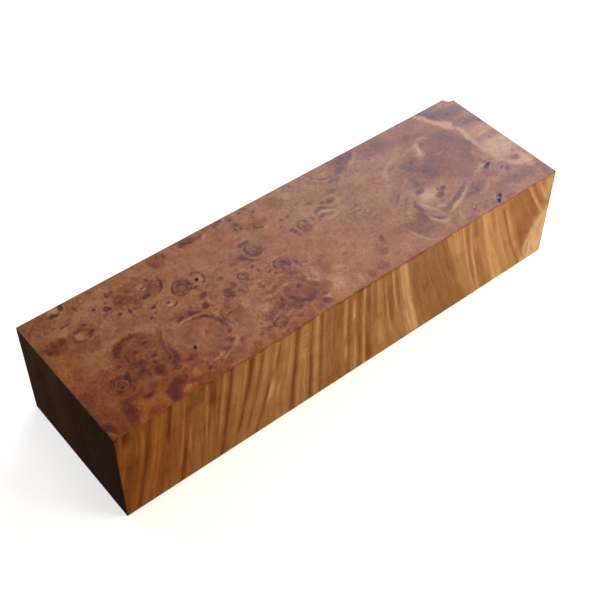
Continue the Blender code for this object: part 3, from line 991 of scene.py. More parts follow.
        (111.3, 15.6, 1, 2, 0.4, 5), (91.6, 3, 4.4, 2.4, 0.14, 10), (92.2, 19.4, 1, 1.1, 0.3, -35),
        (90.6, 11.4, 0.9, 0.5, 0.16),
    ),
    *strokes(
        SAP, (0.6, 0.3, 86.9, 15.2, 88.2, 12.6, 90.6, 10.2, 94, 8.4),
        (0.42, 0.72, 89.4, 30.8, 92, 30, 95.6, 28.7, 99, 27.4, 103, 25.8),
        (0.6, 0.2, 93.4, 30.4, 92.6, 32.4, 92.2, 34.8),
        (0.7, 0.5, 99, 12.4, 99.8, 10.8, 101, 8.4, 101.9, 7.4),
        (0.42, 0.4, 96.6, 9.1, 98.6, 9, 100.2, 8.7, 101.4, 7.3),
        (0.6, 0.3, 101.6, 7.6, 103.6, 7.6, 105.2, 9.2),
        (0.5, 0.2, 105.2, 13.6, 103.4, 14, 101.6, 14),
        (0.7, 0.34, 112.2, 22, 110, 22, 107.4, 23.4, 104.6, 25.8),
        (0.8, 0.18, 108.8, 20.6, 110, 18.6, 111.6, 17),
        (0.8, 0.22, 100.2, 30.6, 103.4, 29.6, 106.4, 27.4),
    ),
    *spots(
        HEART, (93.5, 24.6, 1.15, 0.8, 0.8, -20), (95.6, 23.4, 0.6, 0.4, 0.5, -35),
        (92.4, 26.3, 0.8, 0.5, 0.3), (91, 28.8, 1.4, 0.9, 0.3), (94, 34.4, 1.4, 0.6, 0.3),
        (105.6, 34.6, 1.4, 0.6, 0.34),
    ),
    *spots(
        SAP, (92, 22.9, 1, 0.8, 0.26), (91.4, 27.4, 0.9, 0.6, 0.32, 40),
        (99.5, 11.4, 1.3, 1.7, 0.34, 30), (97.4, 14.2, 1.5, 0.6, 0.1, -25),
        (90.6, 16.4, 0.7, 0.5, 0.12),
    ),
    *strokes(
        BARK, (0.7, 0.66, 90, 29, 94, 28.1, 97, 26.9, 100, 25.7, 102.6, 25.1),
        (0.9, 0.36, 90.4, 31.8, 89.9, 33.6, 90, 35.6),
        (0.6, 0.36, 96.4, 29.2, 99.2, 28.6, 101.4, 28.8),
    ),
    *spots(
        SHADE, (102.4, 6, 3, 1, 0.62, 12), (103.4, 15.6, 8, 7.4, 0.42, 0, 0.2),
        (99, 3, 9, 2.6, 0.34), (107.5, 9.4, 2.2, 1.8, 0.5),
    ),
    *spots(GLOW, (98.6, 14.6, 2.6, 1.6, 0.3, 0, 0.3)),
    # pale band and the pale right end
    *strokes(
        SAP, (0.5, 0.6, 114, 15.6, 116.4, 15.1, 119.8, 14.9),
        (0.7, 0.5, 113.6, 19.4, 115.4, 19, 116.8, 20.6, 116.4, 22.4),
        (0.8, 0.5, 119.6, 17, 118.6, 20, 118.6, 23.4),
        (1.15, 0.9, 107.2, -1.2, 108, 0.9, 108.8, 2.6, 110.6, 5.6, 112.2, 8.2, 113.2, 10.2),
        (1, 0.7, 111.2, 6.4, 112.8, 9.4, 113.1, 12, 112.7, 14.6, 112.5, 17.4, 112.2, 20.8),
        (1, 0.34, 118.4, 29, 118, 25.4, 118.4, 21.6),
        (1.3, 0.6, 113.6, 24.6, 114.4, 27, 117, 28.6, 118.6, 29.6),
    ),
    *spots(BARK, (117.4, 17.2, 1.8, 0.9, 0.24)),
    *spots(
        SAP, (113, 23.4, 1, 2, 0.44), (113, 21.5, 1.2, 1.8, 0.4, -20),
        (116.4, 20.8, 3.6, 3.6, 0.8), (112, 8, 1.3, 1.6, 0.8, -30),
        (117.4, 27.6, 2.2, 1.4, 0.5, 30), (117, 14, 3.4, 1.8, 0.34), (117, 30.2, 0.9, 0.6, 0.3),
    ),
    # grey-purple region at the broken corner
    *spots(
        BARK, (113.4, 3.6, 3.6, 2.4, 0.42, 28), (110.2, 0.8, 1.4, 1, 0.36, 30),
        (111.6, 3.2, 1.8, 0.9, 0.3, 35), (117.4, 5.2, 2.8, 1.5, 0.46),
        (116.4, 9.4, 2.8, 1.4, 0.38, 10), (119.4, 11, 0.6, 1, 0.4),
    ),
    *strokes(
        SAP, (0.5, 0.24, 111.8, 2.6, 114.6, 1.6, 117.4, 1.9),
        (0.45, 0.26, 115.6, 2.8, 118, 2.6, 120, 3),
    ),
    # pockets and pips at the right
    *strokes(
        BARK, (0.6, 0.8, 107.4, 24.9, 108.6, 24.3, 110, 23.5),
        (0.7, 0.8, 101.2, 35, 102.4, 34.1, 103.6, 33.2, 104.4, 32.9),
    ),
    # Slate strokes fill the pocket slits with dark blue-grey: partly their dark inside, partly a
    # painted reflection of the cool light.
    *strokes(
        SLATE, (0.8, 0.9, 107.6, 24.9, 108.8, 24.2, 110.5, 23.2),
        (0.9, 0.9, 101.4, 35, 102.6, 34, 104.9, 32.3),
    ),
    *spots(
        HEART, (107.6, 25, 1.6, 0.9, 0.3, -30), (109.2, 22.3, 1, 0.8, 0.42, -10),
        (106.8, 25.5, 0.4, 0.3, 0.55), (117.3, 23.9, 0.4, 0.35, 0.85),
    ),
    *spots(
        BARK, (109.3, 22.8, 0.5, 0.3, 0.5, -15), (111.2, 26.7, 0.7, 0.35, 0.4, -20),
        (111.9, 27.9, 0.9, 0.65, 0.52, -30), (116.4, 26.1, 1.1, 0.9, 0.42, -10),
        (104.6, 32.4, 0.8, 0.3, 0.24), (96.2, 33, 0.4, 0.3, 0.36),
        (112.6, 31.4, 4.6, 1.5, 0.36, 4), (118.6, 33, 1, 2.4, 0.26),
    ),
    *strokes(SAP, (0.3, 0.3, 107, 23.6, 108.2, 23.3, 109.6, 23)),
    *rings(BARK, (96.8, 32.3, 0.8, 0.5, 0.28, 0.34, 0, 360, -20)),
    *spots(SAP, (96.7, 32.3, 0.4, 0.25, 0.4), (107, 29, 1.2, 1, 0.2)),
)

TOP_FIGURE = Figure(
    marks=TOP_MARKS,
    knobs=knobs(
        (8.5, 25.6, 3, 3.6), (16.9, 7.2, 1.6, 1.4), (15.5, 21, 4.2, 3.6), (26.5, 24.5, 6.4, 5),
        (27.4, 13.3, 2.4, 2.6), (31.8, 12, 2.4, 2.2), (35.8, 11.9, 1.8, 1.8),
        (38.6, 19.2, 1.6, 2.4), (42, -1, 4, 3.4), (42.1, 32.1, 1.8, 2), (48.5, 28, 5, 4.4),
        (50, 12.2, 3, 3.4), (53.3, 33, 2, 2), (68.6, 12.6, 3, 3), (74, 27, 2.4, 2.2),
        (79.5, -2, 7.6, 7), (90.5, 26.5, 4.6, 4.4), (99, 17.5, 9.5, 9), (112, 27.4, 1.8, 1.8),
        (116.4, 26.1, 2.2, 2),
    ),
    slope=(0.28, 0.62),
    places=(0.0, 3.0, 12.0, 30.0, 60.0, 90.0, 112.0, 120.0),
    tone=(0.44, 0.50, 0.54, 0.59, 0.62, 0.58, 0.52, 0.56),
    budded=0.40,
    blush=0.30,
)

FRONT_MARKS = (
    *spots(
        SAP, (124, 23, 11, 13.5, 0.62, 0, 0.09), (119, 18, 4.4, 6, 0.3),
        (92, 12, 30, 24, 0.08, 0, 0.5), (118.4, 4, 1.6, 3, 0.25),
    ),
    *spots(LIGHT, (119, 21, 4.6, 8, 0.6)),
    *spots(GLOW, (3, 12, 11, 16, 0.45), (16, 12, 14, 18, 0.28)),
    # The first heart stroke runs along the whole top edge: painted shade that darkens the lit
    # arris, over a thin redder line of the wood.
    *strokes(
        HEART, (0.4, 0.5, -30, 0, 60, 0, 150, 0), (0.7, 0.3, 114.9, 18, 114.4, 21, 114.6, 25.6),
        (0.8, 0.22, 118.6, 13, 117.6, 17, 118, 21), (0.5, 0.26, 116, 20.4, 116.6, 23, 117.8, 25.6),
    ),
    *strokes(SAP, (0.5, 0.6, 116.4, 16, 116.4, 20, 118.6, 25.4)),
    *strokes(
        SHADE, (0.3, 0.4, 44.6, 3, 45.6, 2.9, 46.6, 3.1),
        (0.3, 0.4, 44.5, 4.6, 45.6, 4.5, 46.6, 4.6), (0.3, 0.4, 44.5, 6, 45.5, 5.9, 46.6, 6.1),
        (0.3, 0.4, 44.4, 7.4, 45.5, 7.3, 46.5, 7.4),
    ),
)

FRONT_BANDS = (
    # left end
    *bands(
        SHADE, (0.3, 1.5, 0.6), (2.8, 1.6, 0.55, -3, 3), (4.8, 3, 0.24, 10), (8.1, 1, 0.26, -3, 9),
        (8.1, 1, 0.46, 8), (12.6, 0.8, 0.56, -3, 9), (12.7, 1, 0.28, 8, 26), (16.8, 1.1, 0.36, 4),
        (17, 0.6, 0.3, 13), (18.7, 4.4, 0.42, -3, 5), (22.8, 2.3, 0.52, -3, 7.4),
        (18.6, 0.5, 0.3, 10, 18), (22.3, 0.4, 0.34, 9, 16), (21.1, 0.8, 0.34, 12),
        (24.7, 0.4, 0.32), (27.2, 1.05, 0.64), (32.2, 1.2, 0.62, -3, 10.5),
        (32, 0.9, 0.52, 9.5, 20), (31.8, 0.6, 0.34, 19), (34.9, 0.85, 0.5, 1, 22),
        (39.6, 0.4, 0.42, -3, 9), (38.5, 0.9, 0.52, 8), (43.8, 0.95, 0.66),
    ),
    *bands(
        LIGHT, (2.9, 0.4, 0.34, 4.5, 13), (7, 0.5, 0.26, 3, 11), (9.8, 0.7, 0.2, -3, 20),
        (10.9, 0.6, 0.2, -3, 22), (14.2, 1.6, 0.16, -3, 6), (16, 0.45, 0.38, 1, 20),
        (21.2, 0.3, 0.3, -3, 5), (17.8, 0.5, 0.3, 10, 17), (21.6, 0.4, 0.28, 6, 16),
        (25.7, 0.5, 0.42, -3, 18), (28.8, 0.9, 0.22, -3, 12), (30, 0.6, 0.2, -3, 14),
        (31, 0.4, 0.36, 1, 12), (33.6, 0.6, 0.22, -3, 6), (36.5, 1.5, 0.22, -3, 12),
        (38.6, 0.4, 0.42, 0, 12), (39.4, 0.9, 0.5, 11.5, 17.5), (41, 0.5, 0.34, 13, 18),
        (41.2, 0.7, 0.2), (42.4, 0.6, 0.2),
    ),
    # middle
    *bands(
        LIGHT, (45.6, 1.8, 0.34, 0.5, 10.5), (44.9, 0.5, 0.2, 10), (46, 0.4, 0.2, 10),
        (48.8, 1, 0.46), (48.8, 0.8, 0.34, 12, 18.5), (52.6, 0.4, 0.18), (56.1, 0.4, 0.36, -3, 14),
        (56.6, 0.4, 0.4, -3, 12), (56.7, 0.7, 0.6, 15.5, 19.5), (58.9, 0.7, 0.8, 2.5, 8),
        (59.2, 0.6, 0.46, 13.5), (61.6, 0.42, 0.56), (63.7, 0.6, 0.34, -3, 2.4),
        (65.4, 0.9, 0.44, -3, 11), (65.2, 1.2, 0.4, 13, 22), (67.2, 0.35, 0.42, 9, 20),
        (69.3, 0.45, 0.46, 0, 14), (71.6, 0.7, 0.6), (72.7, 1.2, 0.8), (70.8, 0.5, 0.3, 15, 25),
    ),
    *bands(
        SHADE, (47.4, 0.7, 0.34, -3, 12), (47.4, 0.8, 0.5, 11), (50, 0.6, 0.36), (53.6, 4.6, 0.24),
        (57.5, 0.9, 0.36), (60.4, 0.9, 0.4), (62.7, 1.2, 0.52), (64.3, 0.8, 0.4, 1, 13),
        (66.6, 0.45, 0.4, 0.5, 14), (68, 0.9, 0.44, 4, 17), (68.7, 0.4, 0.4, 0, 12),
        (70.3, 0.5, 0.36, 0, 12), (79.3, 11.4, 0.44), (75, 1.6, 0.3, 5, 14), (80, 9, 0.2, 11),
    ),
    # right end
    *bands(
        LIGHT, (87.3, 3.8, 0.36, -3, 8), (88, 2, 0.26, 2, 18), (90, 0.5, 0.42),
        (92.3, 0.5, 0.62, 0), (97.2, 2.2, 0.65), (99.9, 1, 0.4), (101.6, 0.9, 0.16, 4),
        (101, 0.6, 0.2, 2, 13), (103.2, 0.7, 0.34, 3, 18), (111.2, 0.6, 0.56, -3, 11),
        (114.2, 0.6, 0.5, -3, 8),
    ),
    *bands(
        SHADE, (91.2, 0.7, 0.44, 1, 28), (93.8, 1.4, 0.54, -3, 6), (93.6, 1.6, 0.4, 11),
        (99.3, 0.4, 0.26, 0, 6), (100.6, 0.4, 0.2, 9, 24), (102.4, 0.5, 0.5, 2, 26),
        (107.6, 6.4, 0.5, -3, 19), (104.7, 1.6, 0.4, 13, 24), (112.5, 1, 0.5, -3, 9),
        (115.4, 0.5, 0.34, -3, 5),
    ),
)

FRONT_FIGURE = Figure(
    bands=FRONT_BANDS,
    marks=FRONT_MARKS,
    slope=(1.0, 0.0),
    places=(0, 9, 16, 21, 27.5, 32, 38.8, 43.3, 47, 57, 62, 67, 73, 85, 92.3, 103, 112, 120),
    tone=(
        0.38, 0.44, 0.47, 0.50, 0.51, 0.53, 0.55, 0.55, 0.53,
        0.53, 0.53, 0.53, 0.55, 0.55, 0.58, 0.58, 0.59, 0.62,
    ),
    lean=(
        -0.20, -0.21, -0.15, -0.11, -0.16, -0.20, -0.25, -0.10, -0.02,
        0.02, 0.04, 0.16, 0.23, 0.40, 0.25, 0.41, 0.72, 0.74,
    ),
    drawn=1.0,
)


# Figures drawn at random: places where a striped side's tone and lean are given, and
# how many budded patches, eyes and pale streaks a budded face has
STRIPED_STOPS = 7
BUDDED_PATCHES = 26
EYES = 60
PALE_STREAKS = 14

# Half length of the smallest random eye that has a ring, in millimetres
RINGED_SIZE = 1.1


def striped_figure(
    seed: int, length: float, count: int, tone: tuple[float, float], strength: float = 1.0
) -> Figure:
    """Long upright fibres with stripes drawn at random, the same each run.

    Args:
        seed: Chooses the stripes.
        length: Length of the face, in millimetres.
        count: How many stripes there are.
        tone: Lightness at the face's two ends: the wood's own tone, which on the left end is
            painted shade as well.
        strength: How strong the stripes are, against those of the striped side.

    Returns:
        The figure.
    """
    draw = np.random.default_rng(seed)
    stripes = []
    for _ in range(count):
        mark = (LIGHT, SHADE)[draw.integers(2)]
        top = draw.uniform(-20.0, 8.0)
        bottom = top + draw.uniform(14.0, 45.0)
        at = draw.uniform(0.0, length)
        depth = strength * draw.uniform(0.2, 0.55)
        stripes.append(Band(mark, at, draw.uniform(0.8, 3.4), depth, top, bottom))
    stops = np.linspace(0.0, length, STRIPED_STOPS)
    swing = draw.uniform(-0.05, 0.05, STRIPED_STOPS)
    return Figure(
        bands=stripes,
        places=tuple(stops),
        tone=tuple(np.interp(stops, (0.0, length), tone) + swing),
        lean=tuple(np.cumsum(draw.uniform(-0.12, 0.12, STRIPED_STOPS))),
        drawn=1.0,
    )


def budded_figure(seed: int, length: float, width: float) -> Figure:
    """Eyes and their clusters scattered at random, the same each run.

    Args:
        seed: Chooses the pattern.
        length: Length of the face, in millimetres.
        width: Width of the face.

    Returns:
        The figure.
    """
    draw = np.random.default_rng(seed)
    marks = []
    swellings = []
    for _ in range(BUDDED_PATCHES):
        x, y = draw.uniform(0.0, length), draw.uniform(0.0, width)
        rx, ry = draw.uniform(2.0, 6.5, 2)
        marks.append(Spot(CURDLE, x, y, rx, ry, 0.9, draw.uniform(-60, 60)))
    for _ in range(EYES):
        x, y = draw.uniform(0.0, length), draw.uniform(0.0, width)
        size = draw.uniform(0.7, 1.6)
        mark = (BARK, HEART)[draw.integers(2)]
        depth = draw.uniform(0.3, 0.6)
        marks.append(Spot(mark, x, y, size, size * 0.8, depth, draw.uniform(-60, 60)))
        if size > RINGED_SIZE:
            start = draw.uniform(0, 360)
            marks.append(Ring(mark, x, y, 2.1 * size, 1.9 * size, 0.9, 0.3, start, 250))
            swellings.append(Knob(x, y, 2.2 * size, 2.5 * size))
    for _ in range(PALE_STREAKS):
        x, y = draw.uniform(0.0, length), draw.uniform(0.0, width)
        bend = draw.uniform(-3.0, 3.0, (3, 2))
        points = [(x + 3.0 * i + dx, y + dy) for i, (dx, dy) in enumerate(bend)]
        marks.append(Stroke(SAP, points, 0.9, draw.uniform(0.25, 0.5)))
    return Figure(
        marks=marks,
        knobs=swellings,
        slope=(0.34, 0.52),
        places=(0.0, 30.0, 60.0, 90.0, 120.0),
        tone=(0.50, 0.55, 0.60, 0.57, 0.60),
        budded=0.45,
        blush=0.25,
    )


@dataclass
class BurlBlock:
    """The block's visible body: sawn faces, eased arrises, open pockets, broken corner.

    Attributes:
        low: Lowest corner of the block.
        high: Highest corner of the block.
        arris: Radius of the eased arrises.
        arris_steps: Rows of faces round an arris.
        coarse: Length of a face on the plain sides.
        fine_cuts: Cuts that split it on the top and on the front.
        pockets: Open bark pockets, each as (x, y, half length, half width, depth, turn).
        chip: How far the broken corner reaches along, across and down.
        figures: The figure of each face.
    """

    low: Vector
    high: Vector
    arris: float = 0.00018
    arris_steps: int = 3
    coarse: float = 0.0009
    fine_cuts: int = 2
    pockets: Sequence[Sizes] = (
        (35.8, 11.9, 0.46, 0.30, 1.0, 70.0),
        (24.7, 26.7, 0.38, 0.27, 0.9, 20.0),
        (108.8, 24.2, 1.45, 0.50, 0.30, 27.0),
        (102.2, 34.4, 1.05, 0.50, 0.30, 36.0),
        (103.6, 33.3, 0.90, 0.52, 0.30, 30.0),
    )
    chip: Sizes = (0.0021, 0.0019, 0.0052)
    figures: dict[Page, Figure] = field(default_factory=dict)

    # How far inside a face its own vertices are counted, in arris radii
    JUST_INSIDE = 1.01

    # A pocket's plain radius, the scale and the strength of its swells, and how much finer
    # its ripples are and their strength
    POCKET_CORE = 0.93
    POCKET_SCALE = 1.6
    POCKET_SWELL = 0.14
    RIPPLE_FINER = 2.7
    POCKET_RIPPLE = 0.08

    # The chip's swells, and its torn fibres, fine across and long down
    CHIP_SCALE = 1.7
    CHIP_START = (4.2, 1.3, 0.7)
    CHIP_SWELL = 0.26
    FIBRES_ACROSS = 9.0
    FIBRES_DOWN = 0.8
    FIBRE_DEPTH = 0.16

    def build(self) -> bpy.types.Object:
        """Models the block and writes its figure on it.

        Returns:
            The block.
        """
        shape = bmesh.new()
        bmesh.ops.create_cube(shape, size=1.0)
        size = self.high - self.low
        middle = (self.high + self.low) / 2
        shape.transform(Matrix.Translation(middle) @ Matrix.Diagonal(size.to_4d()))
        bmesh.ops.bevel(
            shape,
            geom=list(shape.edges),
            affect="EDGES",
            offset=self.arris,
            segments=self.arris_steps,
            profile=0.5,
            material=-1,
        )
        for axis in range(3):
            self.cut_across(shape, axis, size[axis])
        self.refine(shape)
        mesh = bpy.data.meshes.new(BLOCK_NODE)
        shape.to_mesh(mesh)
        shape.free()
        block = bpy.data.objects.new("burl_block", mesh)
        bpy.context.scene.collection.objects.link(block)
        self.cut_losses(block)
        FigurePainter(self.low, self.high, self.figures).paint(block.data)
        return block

    def cut_across(self, shape: bmesh.types.BMesh, axis: int, length: float) -> None:
        """Splits every long edge that runs along an axis into even steps.

        Args:
            shape: The block being built.
            axis: The axis, 0 to 2.
            length: Length of the block along it.
        """
        long_edges = []
        for edge in shape.edges:
            run = edge.verts[1].co - edge.verts[0].co
            if abs(run[axis]) > length / 2:
                long_edges.append(edge)
        cuts = round(length / self.coarse) - 1
        bmesh.ops.subdivide_edges(shape, edges=long_edges, cuts=cuts, use_grid_fill=True)

    def refine(self, shape: bmesh.types.BMesh) -> None:
        """Splits the faces of the top and of the front more finely.

        Args:
            shape: The block being built.
        """
        top = self.high.z - self.arris * self.JUST_INSIDE
        front = self.low.y + self.arris * self.JUST_INSIDE
        chosen = []
        for edge in shape.edges:
            a, b = (v.co for v in edge.verts)
            on_top = min(a.z, b.z) > top
            on_front = max(a.y, b.y) < front
            if (on_top or on_front) and edge.calc_length() > self.coarse / 2:
                chosen.append(edge)
        bmesh.ops.subdivide_edges(shape, edges=chosen, cuts=self.fine_cuts, use_grid_fill=True)

    def cut_losses(self, block: bpy.types.Object) -> None:
        """Cuts the pockets and the broken corner out of the block.

        Args:
            block: The block.
        """
        cutters = bpy.data.collections.new("losses")
        for pocket in self.pockets:
            cutters.objects.link(self.pocket_shape(*pocket))
        cutters.objects.link(self.chip_shape())
        bpy.context.scene.collection.children.link(cutters)
        losses = block.modifiers.new("losses", "BOOLEAN")
        losses.operation = "DIFFERENCE"
        losses.operand_type = "COLLECTION"
        losses.collection = cutters
        losses.solver = "EXACT"
        view = bpy.context.evaluated_depsgraph_get()
        whole = block.data
        block.data = bpy.data.meshes.new_from_object(block.evaluated_get(view))
        block.modifiers.clear()
        bpy.data.meshes.remove(whole)
        for cutter in list(cutters.objects):
            bpy.data.meshes.remove(cutter.data)
        bpy.data.collections.remove(cutters)

    def pocket_shape(
        self, x: float, y: float, rx: float, ry: float, depth: float, turn: float
    ) -> bpy.types.Object:
        """An uneven hollow with a ragged rim, as a cutter.

        Args:
            x: Millimetres from the left end.
            y: Millimetres from the back edge.
            rx: Half length.
            ry: Half width.
            depth: How deep it is.
            turn: Degrees that it is turned by.

        Returns:
            The cutter.
        """
        shape = bmesh.new()
        bmesh.ops.create_icosphere(shape, subdivisions=4, radius=1.0)
        for vertex in shape.verts:
            place = vertex.co * self.POCKET_SCALE + Vector((x, y, 0.0))
            swell = self.POCKET_SWELL * noise.noise(place)
            ripple = self.POCKET_RIPPLE * noise.noise(place * self.RIPPLE_FINER)
            vertex.co *= self.POCKET_CORE + swell + ripple
        shape.transform(Matrix.Diagonal(Vector((rx, ry, depth)).to_4d() * MILLIMETRE))
        left, back = self.low.x + x * MILLIMETRE, self.high.y - y * MILLIMETRE
        place = Vector((left, back, self.high.z))
        turned = Matrix.Rotation(math.radians(turn), 4, "Z")
        for vertex in shape.verts:
            vertex.co = turned @ vertex.co + place
        return as_object("pocket", shape)

    def chip_shape(self) -> bpy.types.Object:
        """The lump missing from the far right corner, torn along the upright fibres.

        Returns:
            The cutter.
        """
        shape = bmesh.new()
        bmesh.ops.create_icosphere(shape, subdivisions=5, radius=1.0)
        for vertex in shape.verts:
            x, y, z = vertex.co
            swell = noise.noise(vertex.co * self.CHIP_SCALE + Vector(self.CHIP_START))
            across = self.FIBRES_ACROSS
            fibres = noise.noise(Vector((x * across, y * across, z * self.FIBRES_DOWN)))
            vertex.co *= 1.0 + self.CHIP_SWELL * swell
            vertex.co.xy *= 1.0 + self.FIBRE_DEPTH * fibres
        shape.transform(Matrix.Diagonal(Vector(self.chip).to_4d()))
        for vertex in shape.verts:
            vertex.co += self.high
        return as_object("chip", shape)


def as_object(name: str, shape: bmesh.types.BMesh) -> bpy.types.Object:
    """Turns a bmesh into an object at the origin and frees it.

    Args:
        name: The object's name.
        shape: The bmesh.

    Returns:
        The object.
    """
    mesh = bpy.data.meshes.new(name)
    shape.to_mesh(mesh)
    shape.free()
    return bpy.data.objects.new(name, mesh)


@dataclass
class FigurePainter:
    """Writes the figure of every face on the block's vertices.

    Attributes:
        low: Lowest corner of the block.
        high: Highest corner of the block.
        figures: The figure of each face that has one of its own.
        wander_wide: How far the wide wander moves a mark, in millimetres.
        wander_fine: How far the fine wander moves it.
    """

    low: Vector
    high: Vector
    figures: dict[Page, Figure]
    wander_wide: float = 0.30
    wander_fine: float = 0.15

    FIELDS = ("growth", "tone", *(mark.value for mark in Mark))

    # Metres over which two faces blend at an arris, and the least weight of a face
    BLEND = 0.00006
    FAINTEST = 0.02

    # Steps through the random values, from face to face and from one axis to the other
    PAGE_STEP = 7.3
    SIDE_STEP = 40.0

    # Seeds of the wide wander, of the fine wander and of the growth layers' drift
    WIDE_SEED = 11
    FINE_SEED = 12
    GROWTH_SEED = 21

    # Millimetres over which the wanders change
    WIDE_SCALE = 2.3
    FINE_SCALE = 0.8

    # How far a fibre wanders, over what length, and how slowly it does down a side
    FIBRE_WANDER = 0.16
    FIBRE_SCALE = 3.1
    FIBRE_DOWN = 0.35

    # Strength and length of the layers' drifts, and what drawn-out wood takes off them
    DRIFTS = ((1.3, 9.0), (0.5, 3.3))
    STEADIED = 0.75

    def paint(self, mesh: bpy.types.Mesh) -> None:
        """Fills the mesh's figure attributes.

        Args:
            mesh: The block's mesh.
        """
        count = len(mesh.vertices)
        flat = np.empty(count * 3, dtype=np.float32)
        mesh.vertices.foreach_get("co", flat)
        places = flat.reshape(count, 3).astype(float)
        totals = {name: np.zeros(count) for name in self.FIELDS}
        weights = self.page_weights(places)
        for page, weight in weights.items():
            near = weight > self.FAINTEST
            found = self.read(page, self.figures[page], places[near])
            for name, values in found.items():
                totals[name][near] += weight[near] * values
        whole = sum(np.where(w > self.FAINTEST, w, 0.0) for w in weights.values())
        for name, values in totals.items():
            made = mesh.attributes.new(name, "FLOAT", "POINT")
            made.data.foreach_set("value", (values / whole).astype(np.float32))

    def page_weights(self, places: Array) -> dict[Page, Array]:
        """How much of each vertex belongs to each face.

        Args:
            places: Where the vertices are, in metres.

        Returns:
            The shares for each face.
        """
        weights = {}
        for page in Page:
            axis, side = page.value
            plane = self.high[axis] if side > 0 else self.low[axis]
            depth = np.abs(plane - places[:, axis])
            weights[page] = 1.0 / (depth + self.BLEND) ** 4
        whole = sum(weights.values())
        return {page: weight / whole for page, weight in weights.items()}

    def on_page(self, page: Page, places: Array) -> tuple[Array, Array]:
        """Places on a face, in millimetres along it and across or down it.

        Args:
            page: The face.
            places: The places, in metres.

        Returns:
            The two coordinates.
        """
        from_left = (places[:, 0] - self.low.x) / MILLIMETRE
        from_back = (self.high.y - places[:, 1]) / MILLIMETRE
        from_top = (self.high.z - places[:, 2]) / MILLIMETRE
        if page in (Page.TOP, Page.UNDERSIDE):
            return from_left, from_back
        if page in (Page.FRONT, Page.BACK):
            return from_left, from_top
        return from_back, from_top

    def read(self, page: Page, figure: Figure, places: Array) -> dict[str, Array]:
        """The figure's values at places on one face.

        Args:
            page: The face.
            figure: Its figure.
            places: The places, in metres.

        Returns:
            One value of each field for each place.
        """
        x, y = self.on_page(page, places)
        level = np.full_like(x, self.PAGE_STEP * list(Page).index(page))
        moved_x = x + self.wandered(x, y, level)
        moved_y = y + self.wandered(x, y, level + self.SIDE_STEP)
        fibre = figure.fibre_start(x, y)
        drift = Wander(self.WIDE_SEED).at(fibre, y * self.FIBRE_DOWN, level, self.FIBRE_SCALE)
        fibre = fibre + self.FIBRE_WANDER * drift
        found = {name: np.zeros_like(x) for name in self.FIELDS}
        order = np.argsort(moved_x)
        ranked = moved_x[order]
        for mark in figure.marks:
            centre_x, centre_y, reach = mark.reach()
            first, last = np.searchsorted(ranked, (centre_x - reach, centre_x + reach))
            near = order[first:last]
            near = near[np.abs(moved_y[near] - centre_y) < reach]
            total = found[mark.mark.value]
            total[near] = covered(total[near], mark.cover(moved_x[near], moved_y[near]))
            if not isinstance(mark, Ring):
                pale = found[Mark.SAP.value]
                pale[near] = covered(pale[near], mark.rim(moved_x[near], moved_y[near]))
        for band in figure.bands:
            total = found[band.mark.value]
            total[:] = covered(total, band.cover(fibre, y))
        found["tone"] = np.interp(fibre, figure.places, figure.tone)
        found["curl"] = np.maximum(found["curl"], figure.drawn)
        found["curdle"] = np.maximum(found["curdle"], figure.budded)
        found["heart"] = covered(found["heart"], figure.blush)
        found["growth"] = self.growth(figure, x, y, fibre, level)
        return found

    def wandered(self, x: Array, y: Array, level: Array) -> Array:
        """How far a mark is moved off its place, in millimetres.

        Args:
            x: First coordinate of each place.
            y: Second coordinate of each place.
            level: Chooses the random values.

        Returns:
            The moves.
        """
        wide = Wander(self.WIDE_SEED).at(x, y, level, self.WIDE_SCALE)
        fine = Wander(self.FINE_SEED).at(x, y, level, self.FINE_SCALE)
        return self.wander_wide * wide + self.wander_fine * fine

    def growth(self, figure: Figure, x: Array, y: Array, fibre: Array, level: Array) -> Array:
        """Height through the growth layers at each place.

        Args:
            figure: The figure.
            x: First coordinate of each place.
            y: Second coordinate of each place.
            fibre: Where the fibre through each place starts.
            level: Chooses the random values.

        Returns:
            The heights, in layers.
        """
        drift = Wander(self.GROWTH_SEED)
        loose = 1.0 - self.STEADIED * figure.drawn
        height = figure.slope[0] * fibre + figure.slope[1] * y
        for strength, length in self.DRIFTS:
            height = height + strength * loose * drift.at(x, y, level, length)
        for knob in figure.knobs:
            away = np.hypot(x - knob.x, y - knob.y) / knob.radius
            height = height + knob.rise * np.exp(-(away**2))
        return height


def covered(total: Array, cover: Array | float) -> Array:
    """Lays a mark over what is there, so that marks that meet don't pass 1."""
    return total + cover * (1.0 - total)


